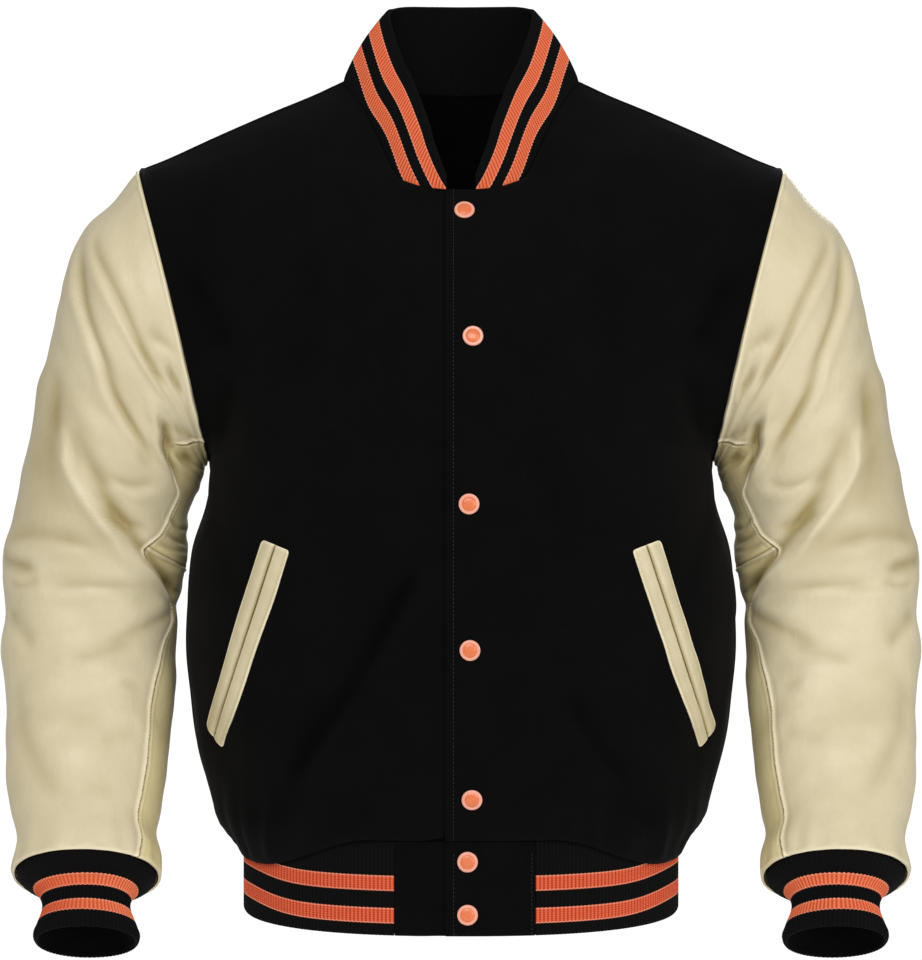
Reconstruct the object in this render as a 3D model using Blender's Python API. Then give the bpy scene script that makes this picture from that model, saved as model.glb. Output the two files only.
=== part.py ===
"""Varsity jacket: wool body, leather sleeves, rib-knit collar, cuffs and waistband, snap front.

The jacket keeps the shape it has when worn. +Z is up, the front faces -Y and the wearer's left is
at +X. The origin is the middle of the neck base, level with the high points of the shoulder seams.
Each piece of cloth is a wall: a grid of outer points, the same grid moved in by the thickness of
the cloth, and a rim that joins the two. Sizes in the tables are millimetres and degrees.
"""
import math

import bpy
import numpy as np
from mathutils import Vector
from mathutils.bvhtree import BVHTree

for left_over in list(bpy.data.objects):
    bpy.data.objects.remove(left_over)
jacket = bpy.data.objects.new("jacket", None)
bpy.context.collection.objects.link(jacket)

MM = 0.001

# Cloth
WOOL = 2.0 * MM
TAB_CLOTH = 2.4 * MM       # wool over a stiff interlining
LEATHER = 1.6 * MM
RIB_KNIT = 2.4 * MM
RIB_RISE = 0.9 * MM        # how far a rib stands over the groove beside it
SEAM = 0.4 * MM            # between the edges of two pieces that are sewn together
SEAT = 0.5 * MM            # what lies on a panel is this far off it

# Body
BODY_ROUND = 2.4           # exponent of the body's sections: 2 is an ellipse, more is boxier
CHEST_ROUND = 2.3          # how flat the chest stays on its way to the armhole
ARMPIT_ROW = 0.55          # share of the way up a panel at which the armhole starts
ROLL_ROW = 0.72            # share of the way up at which the chest starts to roll to the shoulder
ROLL_ROUND = 1.5
EVEN_OUT = 6               # rounds of smoothing of the chest and shoulders, inside their seams
OVERLAP = 12 * MM          # how far the left front reaches past the centre, on top
UNDERLAP = 24 * MM         # how far the right front reaches past the centre, underneath
UNDER_DROP = 2.8 * MM      # how far in the lapped part of the right front lies

# Waistband
BAND_WIDTH = 173.5 * MM    # half width, side to side
BAND_FRONT = 135 * MM      # from the side line forward to the centre front
BAND_BACK = 119 * MM
BAND_TALL = 71.5 * MM
BAND_TOP = -585.5 * MM     # height of its seam at the sides
BAND_DIP = 9.5 * MM        # how much lower it runs at the centre front
TAB_LEFT = 57 * MM         # where the left end tab meets the ribbing
TAB_RIGHT = 51 * MM
HEM_LAP = 27 * MM          # how far the bloused cloth hangs over the waistband at the sides

# Ribs that stand out of the knit pieces, each in place of three or four fine ones
RIBS_BAND = 92
RIBS_CUFF = 24
RIBS_COLLAR = 56

# Trim
WELT_WIDTH = 11.6 * MM
WELT_THICK = 2.2 * MM
WELT_SEAT = 0.8 * MM
WELT_GROOVE = 0.7 * MM     # the pocket's slit, between its two welts
WELT_ROWS = 16
WELT_CROWN = (0.6, 1, 0.45)  # its thickness, in shares, from the slit outwards


def table(columns, *rows):
    """Rows of numbers as one array for each named column."""
    return dict(zip(columns.split(), np.array(rows, dtype=float).T))


# Side seam, from the hem up to the armpit
SIDE_LINE = table(
    "up out",
    (-611.9, 177), (-606, 179), (-600, 182.5), (-589, 191), (-569, 199), (-549, 205),
    (-521, 212), (-485, 216.5), (-455, 219.5), (-410, 218), (-372, 214.5), (-337, 203.5),
    (-316, 200), (-300, 201.4))

# Centre front and centre back, from the hem up to the neck
FRONT_LINE = table(
    "up out",
    (-594.2, 135.4), (-588, 140.6), (-575, 148), (-550, 154), (-520, 158), (-450, 160), (-350, 158),
    (-270, 154), (-200, 143), (-140, 115), (-110, 94), (-91, 82))
BACK_LINE = table(
    "up out",
    (-604, 124), (-598, 129), (-585, 133), (-560, 135), (-510, 131), (-430, 124), (-350, 122),
    (-250, 129), (-150, 124), (-80, 104), (-30, 72), (-4, 48))

# Half of the neck seam, from the centre back round to the end of the collar, and the point of the
# collar's upper edge over each
NECK = table(
    "seam_x seam_y seam_z edge_x edge_y edge_z",
    (0, 48, -4, 0, 40, 66), (35, 45, -3, 26, 38, 66), (62, 36, -1, 45, 28, 65),
    (82, 22, 1, 55, 14, 62), (94.5, 2, 2, 58, -1, 58), (87, -14, -9, 55, -15, 42),
    (76, -32, -26, 47, -30, 18), (63, -50, -53.7, 37, -45, -4), (51.3, -66, -78, 26, -58, -33),
    (38, -75, -86, 21.5, -67, -50), (24, -80, -89.5, 16, -75, -66), (12, -82, -91, 11, -79.5, -79))
HIGH_POINT = 4             # the row of that table where the shoulder seam starts
COLLAR_ROLL = 0.22         # how round the collar is over its height

# Shoulder seam, from the neck out to the armhole
SHOULDER = table(
    "out back up",
    (94.5, 2, 2), (113.6, 2, -7.2), (148, 1, -21.6), (198, 0, -43.6), (240, 0, -62.8),
    (257, 0, -69.8))
SHOULDER_COLUMNS = (115, 138, 162, 185, 207, 226, 241, 251, 257)

# Sections down a sleeve, by the length along its outer edge. Each has a point on its outer edge, one
# on its inner edge, how far its middle lies forward, its half depth, its tilt, how far the armhole
# bows in, and the angles of the front and back seams, from 0 at the outer edge to 180 at the inner.
SLEEVE = table(
    "along outer_x outer_z inner_x inner_z forward depth tilt bow front_seam back_seam",
    (0, 257, -69.8, 201.4, -300, 0, 76, 0, 5, 166, 204),
    (27, 274.6, -91.2, 202.6, -302.5, 0, 77, 0, 4, 163, 208),
    (59, 299, -114.4, 204, -306, 0, 77, 0, 2, 159, 213),
    (89, 311.2, -141.6, 205.4, -310, 0, 77, 0, 1, 155, 217),
    (128, 322.4, -178.4, 207, -316, -1, 76, 0, 0, 151, 221),
    (161, 328.8, -210.4, 210, -324, -2, 75, 0, 0, 148, 224),
    (191, 336.6, -239.2, 214.4, -334, -3, 74, 0, 0, 145, 227),
    (223, 342.8, -271.2, 218.8, -347, -4, 72, 0, 0, 142, 229),
    (266, 351.4, -312.8, 219.8, -366.5, -5, 69, 0, 0, 137, 231),
    (303, 359, -349.6, 219.6, -384, -5, 66, 1, 0, 133, 232),
    (336, 366.4, -381.6, 223.5, -401.6, -4, 63, 4, 0, 139, 232),
    (358, 366.6, -404, 228, -414, -2, 61, 8, 0, 146, 232),
    (387, 363.6, -431, 226.6, -434, 2, 60, 14, 0, 147, 232),
    (409, 366.4, -454.8, 227.4, -455, 8, 58, 19, 0, 143, 232),
    (438, 361.7, -483.6, 227, -483.6, 20, 55, 24, 0, 138, 231),
    (462, 360.1, -507.5, 229, -507.5, 31, 53, 27, 0, 137, 230),
    (486, 359.1, -531.3, 230.8, -531.3, 44, 52, 29, 0, 138, 229),
    (510, 355.9, -553, 231.9, -553, 56, 51, 30, 0, 139, 228),
    (533, 351, -575.4, 235, -575.4, 69, 49, 31, 0, 139, 228),
    (554, 347.2, -595.4, 236.8, -595.4, 81, 47.5, 31, 0, 139, 228),
    (567, 347.2, -608.6, 232.6, -608.6, 89, 49, 31, 0, 139, 228),
    (584, 348.1, -624, 231.6, -624, 98, 50, 31, 0, 139, 228))
SLEEVE_ROUND = 2.1
ELBOW_SEAM = 320           # where the cross seam parts the under sleeve
SLEEVE_ROWS = (0, 9, 28, 54, 84, 114, 144, 174, 202, 228, 252, 276, 298, 320, 338, 354, 370, 388,
               410, 436, 466, 498, 528, 552, 569, 584)
TOP_COLUMNS = (9, 9)       # from the back seam to the outer edge, and on to the front seam
UNDER_COLUMNS = (2, 3)     # from the front seam to the inner edge, and on to the back seam
AROUND = 1.2               # millimetres round a sleeve for each degree, about

# Largest folds. Each is a trough along a line from one place to another, with a ridge beside it
# that is a share of the trough's depth. The sign of the ridge picks the side it lies on.
# A sleeve's places are a length down it and an angle round it: front folds first, then back ones.
SLEEVE_FOLDS = table(
    "from_a from_b to_a to_b depth width ridge",
    (232, 46, 352, 158, 7.5, 18, 0.7),
    (92, 18, 176, 122, 5, 14, 0.6),
    (62, 36, 50, 124, 4, 13, 0.6),
    (186, 130, 268, 146, 5, 12, -0.6),
    (352, 8, 396, 62, 4.5, 13, 0.5),
    (412, 70, 398, 152, 3.5, 12, 0.6),
    (470, 6, 528, 66, 4.5, 14, 0.5),
    (356, 196, 318, 292, 6, 14, 0.7),
    (392, 214, 402, 330, 4.5, 13, 0.6),
    (110, 344, 196, 246, 4.5, 15, 0.6),
    (262, 336, 292, 236, 4, 14, -0.6),
    (500, 340, 462, 262, 4, 14, 0.6))
# Places on the body are a distance out from the centre and a height
LEFT_FOLDS = table(
    "from_a from_b to_a to_b depth width ridge",
    (216, -146, 176, -224, 4, 16, 0.5),
    (177, -228, 194, -300, 4, 15, 0.5),
    (85, -489, 129, -550, 2.5, 15, 0.5),
    (200, -318, 168, -420, 3.5, 18, -0.5),
    (92, -545, 160, -585, 3, 13, 0.6))
RIGHT_FOLDS = table(
    "from_a from_b to_a to_b depth width ridge",
    (216, -146, 176, -224, 4, 16, 0.5),
    (177, -228, 194, -300, 4, 15, 0.5),
    (27, -373, 133, -548, 4.5, 15, 0.5),
    (200, -318, 168, -420, 3.5, 18, -0.5),
    (110, -556, 176, -580, 3, 13, 0.6))
BACK_FOLDS = table(
    "from_a from_b to_a to_b depth width ridge",
    (222, -150, 168, -290, 5, 18, 0.5),
    (40, -400, 150, -545, 3.5, 18, 0.5),
    (-70, -380, -150, -520, 3, 18, 0.5),
    (-222, -150, -168, -280, 5, 18, 0.5),
    (60, -560, 150, -585, 3, 14, 0.6),
    (-50, -565, -140, -580, 3, 14, 0.6))

# A cuff, by the length down its axis from the end of the leather
CUFF = table(
    "along half_width half_depth",
    (-6, 54.3, 47.3), (4, 51.6, 44.2), (13, 39.6, 31.2), (44, 39, 30.4), (50, 41, 32),
    (55.5, 40.2, 31.2))
CUFF_DRIFT = -0.05         # how far its axis leans towards the body, for each unit down

# Snap caps: the place across and the height of each. The last two are on the left tab.
SNAPS = table(
    "across up",
    (2.7, -108.5), (9.1, -208), (6.1, -335.8), (6.8, -446.7), (8.3, -560.5), (5, -609.5),
    (5, -650))
TAB_SNAPS = 2
SNAP_SIDES = 14
SNAP_PROFILE = table(
    "radius height",
    (7.9, 0), (7.9, 0.9), (6.4, 1.4), (5.2, 2.2))
SNAP_CROWN = 2.6

# The upper and lower ends of the pocket's slit on the left front
POCKET = table("out up", (142.6, -369.7), (191.5, -517.2))


def smooth(at, knots, values):
    """Read a smooth curve through the knots at one place or at many."""
    at = np.clip(np.asarray(at, dtype=float), knots[0], knots[-1])
    slopes = np.gradient(values, knots)
    i = np.clip(np.searchsorted(knots, at) - 1, 0, len(knots) - 2)
    step = knots[i + 1] - knots[i]
    t = (at - knots[i]) / step
    bend = step * t * (1 - t) * ((1 - t) * slopes[i] - t * slopes[i + 1])
    return (1 + 2 * t) * (1 - t) ** 2 * values[i] + t * t * (3 - 2 * t) * values[i + 1] + bend


def ease(x):
    """A soft step from 0 to 1."""
    x = np.clip(x, 0, 1)
    return x * x * (3 - 2 * x)


def power(x, exponent):
    """A power that keeps the sign."""
    return np.sign(x) * np.abs(x) ** exponent


def unit(vectors):
    return vectors / np.linalg.norm(vectors, axis=-1, keepdims=True)


def normals(grid, closed=False):
    """Outward normals of a grid with its rows going up and its columns to the left, from outside."""
    if closed:
        grid = np.concatenate([grid[:, -1:], grid, grid[:, :1]], axis=1)
    out = unit(np.cross(np.gradient(grid, axis=0), np.gradient(grid, axis=1)))
    return out[:, 1:-1] if closed else out


def mirrored(grid):
    """The same grid on the other side of the body, still with its outer side out."""
    return (grid * (-1, 1, 1))[:, ::-1]


def edge_in(grid, part, gap=SEAM / 2):
    """Move one edge of a grid towards its neighbours, to leave room for a seam."""
    edges = {"bottom": (np.s_[0], np.s_[1]), "top": (np.s_[-1], np.s_[-2]),
             "first": (np.s_[:, 0], np.s_[:, 1]), "last": (np.s_[:, -1], np.s_[:, -2])}
    edge, beside = edges[part]
    grid[edge] += unit(grid[beside] - grid[edge]) * gap


def folds(rows, a, b, b_scale=1.0):
    """How far soft folds push a surface out, at places (a, b) in the folds' own terms."""
    push = np.zeros(np.broadcast(a, b).shape)
    for from_a, from_b, to_a, to_b, depth, width, ridge in zip(*rows.values()):
        line_a, line_b = to_a - from_a, (to_b - from_b) * b_scale
        length = math.hypot(line_a, line_b)
        here_a, here_b = a - from_a, (b - from_b) * b_scale
        here = (here_a * line_a + here_b * line_b) / length
        off = (here_a * line_b - here_b * line_a) / length / width * np.sign(ridge)
        past = np.maximum(np.maximum(-here, here - length), 0) / (1.3 * width)
        fade = np.exp(-past ** 2) * (0.45 + 0.55 * ease(1.6 * here / length))
        shape = abs(ridge) * np.exp(-((off - 1.7) / 1.15) ** 2) - np.exp(-off ** 2)
        push += depth * MM * fade * shape
    return push


def material(name, colour, roughness):
    """A plain Principled finish from an sRGB hex colour."""
    finish = bpy.data.materials.new(name)
    finish.use_nodes = True
    shader = finish.node_tree.nodes["Principled BSDF"]
    channels = [int(colour[i:i + 2], 16) / 255 for i in (0, 2, 4)]
    linear = [c / 12.92 if c <= 0.04045 else ((c + 0.055) / 1.055) ** 2.4 for c in channels]
    shader.inputs["Base Color"].default_value = (*linear, 1)
    shader.inputs["Roughness"].default_value = roughness
    shader.inputs["Metallic"].default_value = 0.0
    return finish


def add_object(name, points, faces, finish):
    """One named mesh object, held by the jacket's empty."""
    mesh = bpy.data.meshes.new(name)
    mesh.from_pydata([tuple(p) for p in points], [], faces)
    mesh.materials.append(finish)
    mesh.shade_smooth()
    mesh.set_sharp_from_angle(angle=math.radians(50))
    piece = bpy.data.objects.new(name, mesh)
    bpy.context.collection.objects.link(piece)
    piece.parent = jacket
    return piece


def wall(name, outer, inner, finish, closed=False):
    """A closed wall between two grids of points. Closed columns run right round a tube."""
    rows, cols = outer.shape[:2]
    count = rows * cols
    points = np.concatenate([outer.reshape(-1, 3), inner.reshape(-1, 3)])
    spans = cols if closed else cols - 1
    faces = []

    def quad(a, b, c, d):
        """Two triangles, split along the shorter diagonal."""
        if np.linalg.norm(points[a] - points[c]) <= np.linalg.norm(points[b] - points[d]):
            faces.extend([(a, b, c), (a, c, d)])
        else:
            faces.extend([(a, b, d), (b, c, d)])

    def rim(a, b):
        """Join the outer and inner ends of one step of the grid's edge."""
        quad(a, a + count, b + count, b)

    for r in range(rows - 1):
        for c in range(spans):
            low, low_next = r * cols + c, r * cols + (c + 1) % cols
            high, high_next = low + cols, low_next + cols
            quad(high, high_next, low_next, low)
            quad(low + count, low_next + count, high_next + count, high + count)
    for c in range(spans):
        rim((c + 1) % cols, c)
        rim((rows - 1) * cols + c, (rows - 1) * cols + (c + 1) % cols)
    if not closed:
        for r in range(rows - 1):
            rim(r * cols, (r + 1) * cols)
            rim((r + 2) * cols - 1, (r + 1) * cols - 1)
    return add_object(name, points, faces, finish)


# ---------------------------------------------------------------- sleeves and cuffs

def sleeve_points(along, angle):
    """Outer points of the left sleeve at lengths down it and angles round it, before its folds."""
    at = {name: smooth(along, SLEEVE["along"], values)[..., None]
          for name, values in SLEEVE.items() if name != "along"}
    outer = np.concatenate([at["outer_x"], -at["forward"], at["outer_z"]], axis=-1)
    inner = np.concatenate([at["inner_x"], -at["forward"], at["inner_z"]], axis=-1)
    tilt = np.radians(at["tilt"])
    front = at["depth"] * np.concatenate([0 * tilt, -np.cos(tilt), np.sin(tilt)], axis=-1)
    angle = np.radians(angle)[..., None]
    points = (outer + inner) / 2 + (outer - inner) / 2 * power(np.cos(angle), 2 / SLEEVE_ROUND)
    points = points + front * power(np.sin(angle), 2 / SLEEVE_ROUND)
    points[..., :1] -= at["bow"] * np.sin(angle) ** 2
    return points * MM


def armhole(angle):
    """Points of the left armhole seam, by the angle round it."""
    return sleeve_points(np.zeros(np.shape(angle)), angle)


def armhole_out(points):
    """From the middle of the armhole out through points of its seam, and away from the body: the
    mitre of that seam."""
    away = unit(points - armhole(np.array([0.0, 180.0])).mean(axis=0))
    return unit(away + (0.5, 0, 0))


def sleeve_columns(along):
    """Angles of a sleeve's columns at lengths down it. They start at the back seam, run over the top
    sleeve to the front seam, and on under the arm."""
    front, back = (smooth(along, SLEEVE["along"], SLEEVE[name])[:, None]
                   for name in ("front_seam", "back_seam"))
    spans = zip((back - 360, 0 * front, front, 0 * front + 180), (0, front, 180, back),
                (*TOP_COLUMNS, *UNDER_COLUMNS))
    return np.concatenate([a + (b - a) * np.arange(n) / n for a, b, n in spans], axis=1)


def armhole_angles(facing):
    """Angles of the points of half of the armhole, from the armpit up: those of the sleeve."""
    angles = (-facing * sleeve_columns(np.zeros(1))[0]) % 360
    return np.sort(angles[angles <= 180])[::-1]


def sleeve_grid():
    """Outer points and outward directions of the whole left sleeve, from the cuff up."""
    along = np.array(SLEEVE_ROWS, dtype=float)[::-1]
    angle = sleeve_columns(along)
    along = np.broadcast_to(along[:, None], angle.shape)
    grid = sleeve_points(along, angle)
    ends = ease(along / 40) * ease((SLEEVE_ROWS[-1] - along) / 30)
    push = ends * folds(SLEEVE_FOLDS, along, angle % 360, AROUND)
    grid = grid + normals(grid, closed=True) * push[..., None]
    out = normals(grid, closed=True)
    out[-1] = armhole_out(grid[-1])
    edge_in(grid, "top", 1.5 * SEAM)
    return grid, out


def make_sleeve(side, leather):
    """The three leather pieces of one sleeve."""
    grid, out = sleeve_grid()
    elbow = len(SLEEVE_ROWS) - 1 - SLEEVE_ROWS.index(ELBOW_SEAM)
    front_seam, columns = sum(TOP_COLUMNS), sum(TOP_COLUMNS + UNDER_COLUMNS)
    over = np.arange(front_seam + 1)
    under = np.append(np.arange(front_seam, columns), 0)
    parts = {"top": (np.s_[:], over, ("first", "last")),
             "under_lower": (np.s_[:elbow + 1], under, ("first", "last", "top")),
             "under_upper": (np.s_[elbow:], under, ("first", "last", "bottom"))}
    for part, (rows, cols, seams) in parts.items():
        outer = grid[rows][:, cols].copy()
        facing = out[rows][:, cols]
        for seam in seams:
            edge_in(outer, seam)
        inner = outer - facing * LEATHER
        if side == "right":
            outer, inner = mirrored(outer), mirrored(inner)
        wall(f"sleeve_{part}_{side}", outer, inner, leather)


def make_cuff(side, knit):
    """A ribbed tube that gathers the end of the sleeve and runs on down the wrist."""
    end = {name: values[-1] for name, values in SLEEVE.items()}
    tilt = math.radians(end["tilt"])
    middle = np.array([(end["outer_x"] + end["inner_x"]) / 2, -end["forward"], end["outer_z"]])
    axis = np.array([CUFF_DRIFT, -math.sin(tilt), -math.cos(tilt)])
    front = np.array([0, -math.cos(tilt), math.sin(tilt)])
    angle = np.radians(np.arange(2 * RIBS_CUFF) * 180 / RIBS_CUFF)[:, None]
    across = power(np.cos(angle), 2 / SLEEVE_ROUND) * (1, 0, 0)
    forward = power(np.sin(angle), 2 / SLEEVE_ROUND) * front

    def tube(shrink):
        rings = [middle + along * axis + (width - shrink / MM) * across + (depth - shrink / MM) * forward
                 for along, width, depth in zip(*CUFF.values())]
        return np.array(rings[::-1]) * MM

    ribbed = tube(0)
    ribbed[:, ::2] = tube(RIB_RISE)[:, ::2]
    plain = tube(RIB_RISE + RIB_KNIT)
    if side == "right":
        ribbed, plain = mirrored(ribbed), mirrored(plain)
    wall(f"cuff_{side}", ribbed, plain, knit, closed=True)


# ---------------------------------------------------------------- body

LOW_ROWS = np.linspace(0, 1, 11) ** 1.45


def row_shares(facing):
    """Shares of the way up a panel of its rows: some below the armpit, and one for each point of the
    armhole."""
    above = 1 - (1 - ARMPIT_ROW) * (armhole_angles(facing)[1:] / 180) ** 1.5
    return np.concatenate([ARMPIT_ROW * LOW_ROWS, above])


def side_edge(facing):
    """The side seam and then half of the armhole, for the rows of a panel."""
    low_up = SIDE_LINE["up"][0] + (SIDE_LINE["up"][-1] - SIDE_LINE["up"][0]) * LOW_ROWS
    out = smooth(low_up, SIDE_LINE["up"], SIDE_LINE["out"])
    low = np.stack([out, 0 * out, low_up], axis=-1) * MM
    high = armhole(armhole_angles(facing)[1:]) * (1, -facing, 1)
    return np.concatenate([low, high])


def top_edge(out, facing):
    """Depth and height of the neck seam and shoulder seam, by the distance from the centre."""
    half = np.s_[:HIGH_POINT + 1] if facing > 0 else np.s_[:HIGH_POINT - 1:-1]
    x, y, z = (NECK["seam_" + axis][half] for axis in "xyz")
    out = np.abs(out) / MM
    neck = out <= SHOULDER["out"][0]
    depth = np.where(neck, np.interp(out, x, y), smooth(out, SHOULDER["out"], SHOULDER["back"]))
    height = np.where(neck, np.interp(out, x, z), smooth(out, SHOULDER["out"], SHOULDER["up"]))
    return depth * MM, height * MM


def body_grid(columns, facing, fold_rows, side=1):
    """Outer points of half of the body, made on the wearer's left. The columns are places along its
    upper edge, facing is -1 for a front and 1 for the back, and side -1 takes the folds of the
    wearer's right."""
    line = FRONT_LINE if facing < 0 else BACK_LINE
    columns = np.array(columns) * MM
    edge = side_edge(facing)
    side_x, side_y, side_z = (edge[:, None, i] for i in range(3))
    share = row_shares(facing)[:, None]
    inner_x, shoulder_x = columns[0], columns[-1]
    x = inner_x + (side_x - inner_x) * (columns - inner_x) / (shoulder_x - inner_x)
    out_share = np.abs(x) / side_x
    top_share = np.abs(columns) / shoulder_x
    middle_z = (line["up"][0] + (line["up"][-1] - line["up"][0]) * share) * MM
    middle_y = facing * smooth(middle_z / MM, line["up"], line["out"]) * MM
    top_y, top_z = top_edge(columns, facing)

    round_level = np.maximum(1 - out_share ** BODY_ROUND, 0) ** (1 / BODY_ROUND)
    by_arm = ease((share - ARMPIT_ROW + 0.04) / 0.2)
    level = round_level * (1 - by_arm) + (1 - out_share ** CHEST_ROUND) * by_arm
    top_level = 1 - top_share ** CHEST_ROUND
    climb = np.clip((share - ROLL_ROW) / (1 - ROLL_ROW), 0, 1)
    roll = 1 - (1 - climb ** ROLL_ROUND) ** (1 / ROLL_ROUND)
    y = level * middle_y + (1 - level) * side_y
    y = y + roll * (top_y - top_level * middle_y[-1] - (1 - top_level) * side_y[-1])
    z = (1 - out_share) * middle_z + out_share * side_z
    z = z + share ** 3 * (top_z - (1 - top_share) * middle_z[-1] - top_share * side_z[-1])
    if facing < 0:
        low = (1 - share / ARMPIT_ROW).clip(0)
        hang = BAND_TOP - BAND_DIP * round_level[0] + SEAM
        hang = hang - HEM_LAP * ease((out_share[0] - 0.4) / 0.52)
        z = z + low ** 4 * (hang - z[0])
        y = y - low ** 8 * 3.4 * MM * round_level[0] * ease((out_share[0] - 0.32) / 0.07)
    grid = np.stack([x, y, z], axis=-1)
    slack = 0.5 * by_arm * ease((columns - 26 * MM) / (40 * MM))
    for _ in range(EVEN_OUT):
        beside = grid[:-2, 1:-1] + grid[2:, 1:-1] + grid[1:-1, :-2] + grid[1:-1, 2:]
        grid[1:-1, 1:-1] += slack[1:-1, 1:-1, None] * (beside / 4 - grid[1:-1, 1:-1])
    if facing < 0:
        grid = grid[:, ::-1]

    calm = (np.sin(np.pi * share) ** 0.5 * ease(12 * (1 - out_share)))[:, ::facing]
    if facing < 0:
        calm = calm * ease((grid[..., 0] - 12 * MM) / (28 * MM))
    grid = grid + normals(grid) * (
        calm * folds(fold_rows, side * grid[..., 0] / MM, grid[..., 2] / MM))[..., None]
    return grid


def body_out(grid, facing):
    """Outward directions of a left half of the body, shared with its neighbours at the seams."""
    out = normals(grid)
    at_side = 0 if facing < 0 else -1
    armpit = len(LOW_ROWS) - 1
    out[:armpit, at_side] = unit(out[:armpit, at_side] * (1, 0, 1))
    out[-1] = unit(out[-1] * (1, 0, 1))
    neck = np.abs(grid[-1, :, 0]) <= (SHOULDER["out"][0] + 0.1) * MM
    out[-1, neck] = -neck_inward(grid[-1, neck])
    out[armpit:, at_side] = armhole_out(grid[armpit:, at_side])
    return out


def neck_inward(points):
    """From the neck seam in to the hollow below it: the mitre of the collar and the panels."""
    drop = 30 * MM + 0.6 * np.abs(points[..., :1])
    return unit(np.concatenate([-points[..., :1], -10 * MM - points[..., 1:2], -drop], axis=-1))


def under_drop(across):
    """How far in the right front and the right tab lie where the left ones cover them."""
    return UNDER_DROP * ease((32 * MM - across) / (16 * MM))


def make_fronts(wool):
    """The left front on top, and the right one, which runs on underneath it."""
    neck = NECK["seam_x"][:HIGH_POINT - 1:-1]
    for side, reach, fold_rows in (("left", OVERLAP, LEFT_FOLDS), ("right", UNDERLAP, RIGHT_FOLDS)):
        columns = [-reach / MM, *neck, *SHOULDER_COLUMNS]
        grid = body_grid(columns, -1, fold_rows)
        out = body_out(grid, -1)
        if side == "right":
            grid = grid - out * under_drop(grid[..., :1])
        edge_in(grid, "top")
        edge_in(grid[:len(LOW_ROWS)], "first")
        inner = grid - out * WOOL
        if side == "right":
            grid, inner = mirrored(grid), mirrored(inner)
        wall(f"front_{side}", grid, inner, wool)


def make_back(wool):
    """One piece from side seam to side seam."""
    columns = [*NECK["seam_x"][:HIGH_POINT + 1], *SHOULDER_COLUMNS]
    halves = [body_grid(columns, 1, BACK_FOLDS, side) for side in (1, -1)]
    outs = [body_out(half, 1) for half in halves]
    grid = np.concatenate([mirrored(halves[1])[:, :-1], halves[0]], axis=1)
    out = np.concatenate([mirrored(outs[1])[:, :-1], outs[0]], axis=1)
    edge_in(grid, "top")
    edge_in(grid[:len(LOW_ROWS)], "first")
    edge_in(grid[:len(LOW_ROWS)], "last")
    wall("back", grid, grid - out * WOOL, wool)


# ---------------------------------------------------------------- waistband and collar

def band_section(angle):
    """Outer points of the waistband's upper edge, by an angle from the centre front round by the
    wearer's right, and the direction out of it."""
    across, forward = -power(np.sin(angle), 2 / BODY_ROUND), power(np.cos(angle), 2 / BODY_ROUND)
    depth = np.where(forward > 0, BAND_FRONT, BAND_BACK)
    height = BAND_TOP - BAND_DIP * np.maximum(forward, 0)
    points = np.stack([BAND_WIDTH * across, -depth * forward, height], axis=-1)
    sideways = power(across, BODY_ROUND - 1) / BAND_WIDTH
    ahead = power(forward, BODY_ROUND - 1) / depth
    return points, unit(np.stack([sideways, -ahead, 0 * across], axis=-1))


def band_angles(start, end, count):
    """Angles that part the waistband into even lengths, from one place across to another."""
    first = math.asin((start / BAND_WIDTH) ** (BODY_ROUND / 2))
    last = 2 * math.pi - math.asin((end / BAND_WIDTH) ** (BODY_ROUND / 2))
    fine = np.linspace(first, last, 2000)
    steps = np.linalg.norm(np.diff(band_section(fine)[0], axis=0), axis=1)
    length = np.concatenate([[0], np.cumsum(steps)])
    return np.interp(np.linspace(0, length[-1], count), length, fine)


def make_waistband(knit, wool):
    """A ribbed strip round the sides and back, and a wool tab at each end of it."""
    down = np.array([0, 0, -BAND_TALL])
    points, out = band_section(band_angles(TAB_RIGHT + SEAM, TAB_LEFT + SEAM, 2 * RIBS_BAND + 1))
    groove = np.where(np.arange(len(points)) % 2 == 0, RIB_RISE, 0)[:, None]
    strip = np.stack([points + down, points])
    wall("waistband", strip - out * groove, strip - out * (RIB_RISE + RIB_KNIT), knit)
    for side, start, end in (("left", TAB_LEFT, -OVERLAP), ("right", UNDERLAP, -TAB_RIGHT)):
        across = np.linspace(start, end, 6)
        points, out = band_section(-np.arcsin(power(across / BAND_WIDTH, BODY_ROUND / 2)))
        if side == "right":
            points = points - out * under_drop(-across)[:, None]
        strip = np.stack([points + down, points])
        wall(f"waistband_tab_{side}", strip, strip - out * TAB_CLOTH, wool)


def make_collar(knit):
    """A ribbed band that stands on the neck seam, leans in to the neck and tapers to the front."""
    seam = np.stack([NECK["seam_" + axis] for axis in "xyz"], axis=-1) * MM
    edge = np.stack([NECK["edge_" + axis] for axis in "xyz"], axis=-1) * MM
    seam = np.concatenate([(seam * (-1, 1, 1))[:0:-1], seam])
    edge = np.concatenate([(edge * (-1, 1, 1))[:0:-1], edge])
    length = np.concatenate([[0], np.cumsum(np.linalg.norm(np.diff(seam, axis=0), axis=1))])
    at = np.linspace(0, length[-1], 2 * RIBS_COLLAR + 1)
    low = np.stack([np.interp(at, length, seam[:, i]) for i in range(3)], axis=-1)
    high = np.stack([smooth(at, length, edge[:, i]) for i in range(3)], axis=-1)
    low = low + unit(high - low) * 2 * SEAM
    tall = np.linalg.norm(high - low, axis=-1, keepdims=True)
    lean = unit(np.cross(high - low, np.gradient(high + low, axis=0)))
    outer = np.stack([low + (high - low) * share + lean * tall * COLLAR_ROLL * share * (1 - share)
                      for share in (0, 0.5, 1)])
    inward = -normals(outer)
    inward[0] = neck_inward(low)
    groove = np.where(np.arange(len(at)) % 2 == 0, RIB_RISE, 0)[:, None]
    wall("collar", outer + inward * groove, outer + inward * (RIB_RISE + RIB_KNIT), knit)


# ---------------------------------------------------------------- trim

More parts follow.
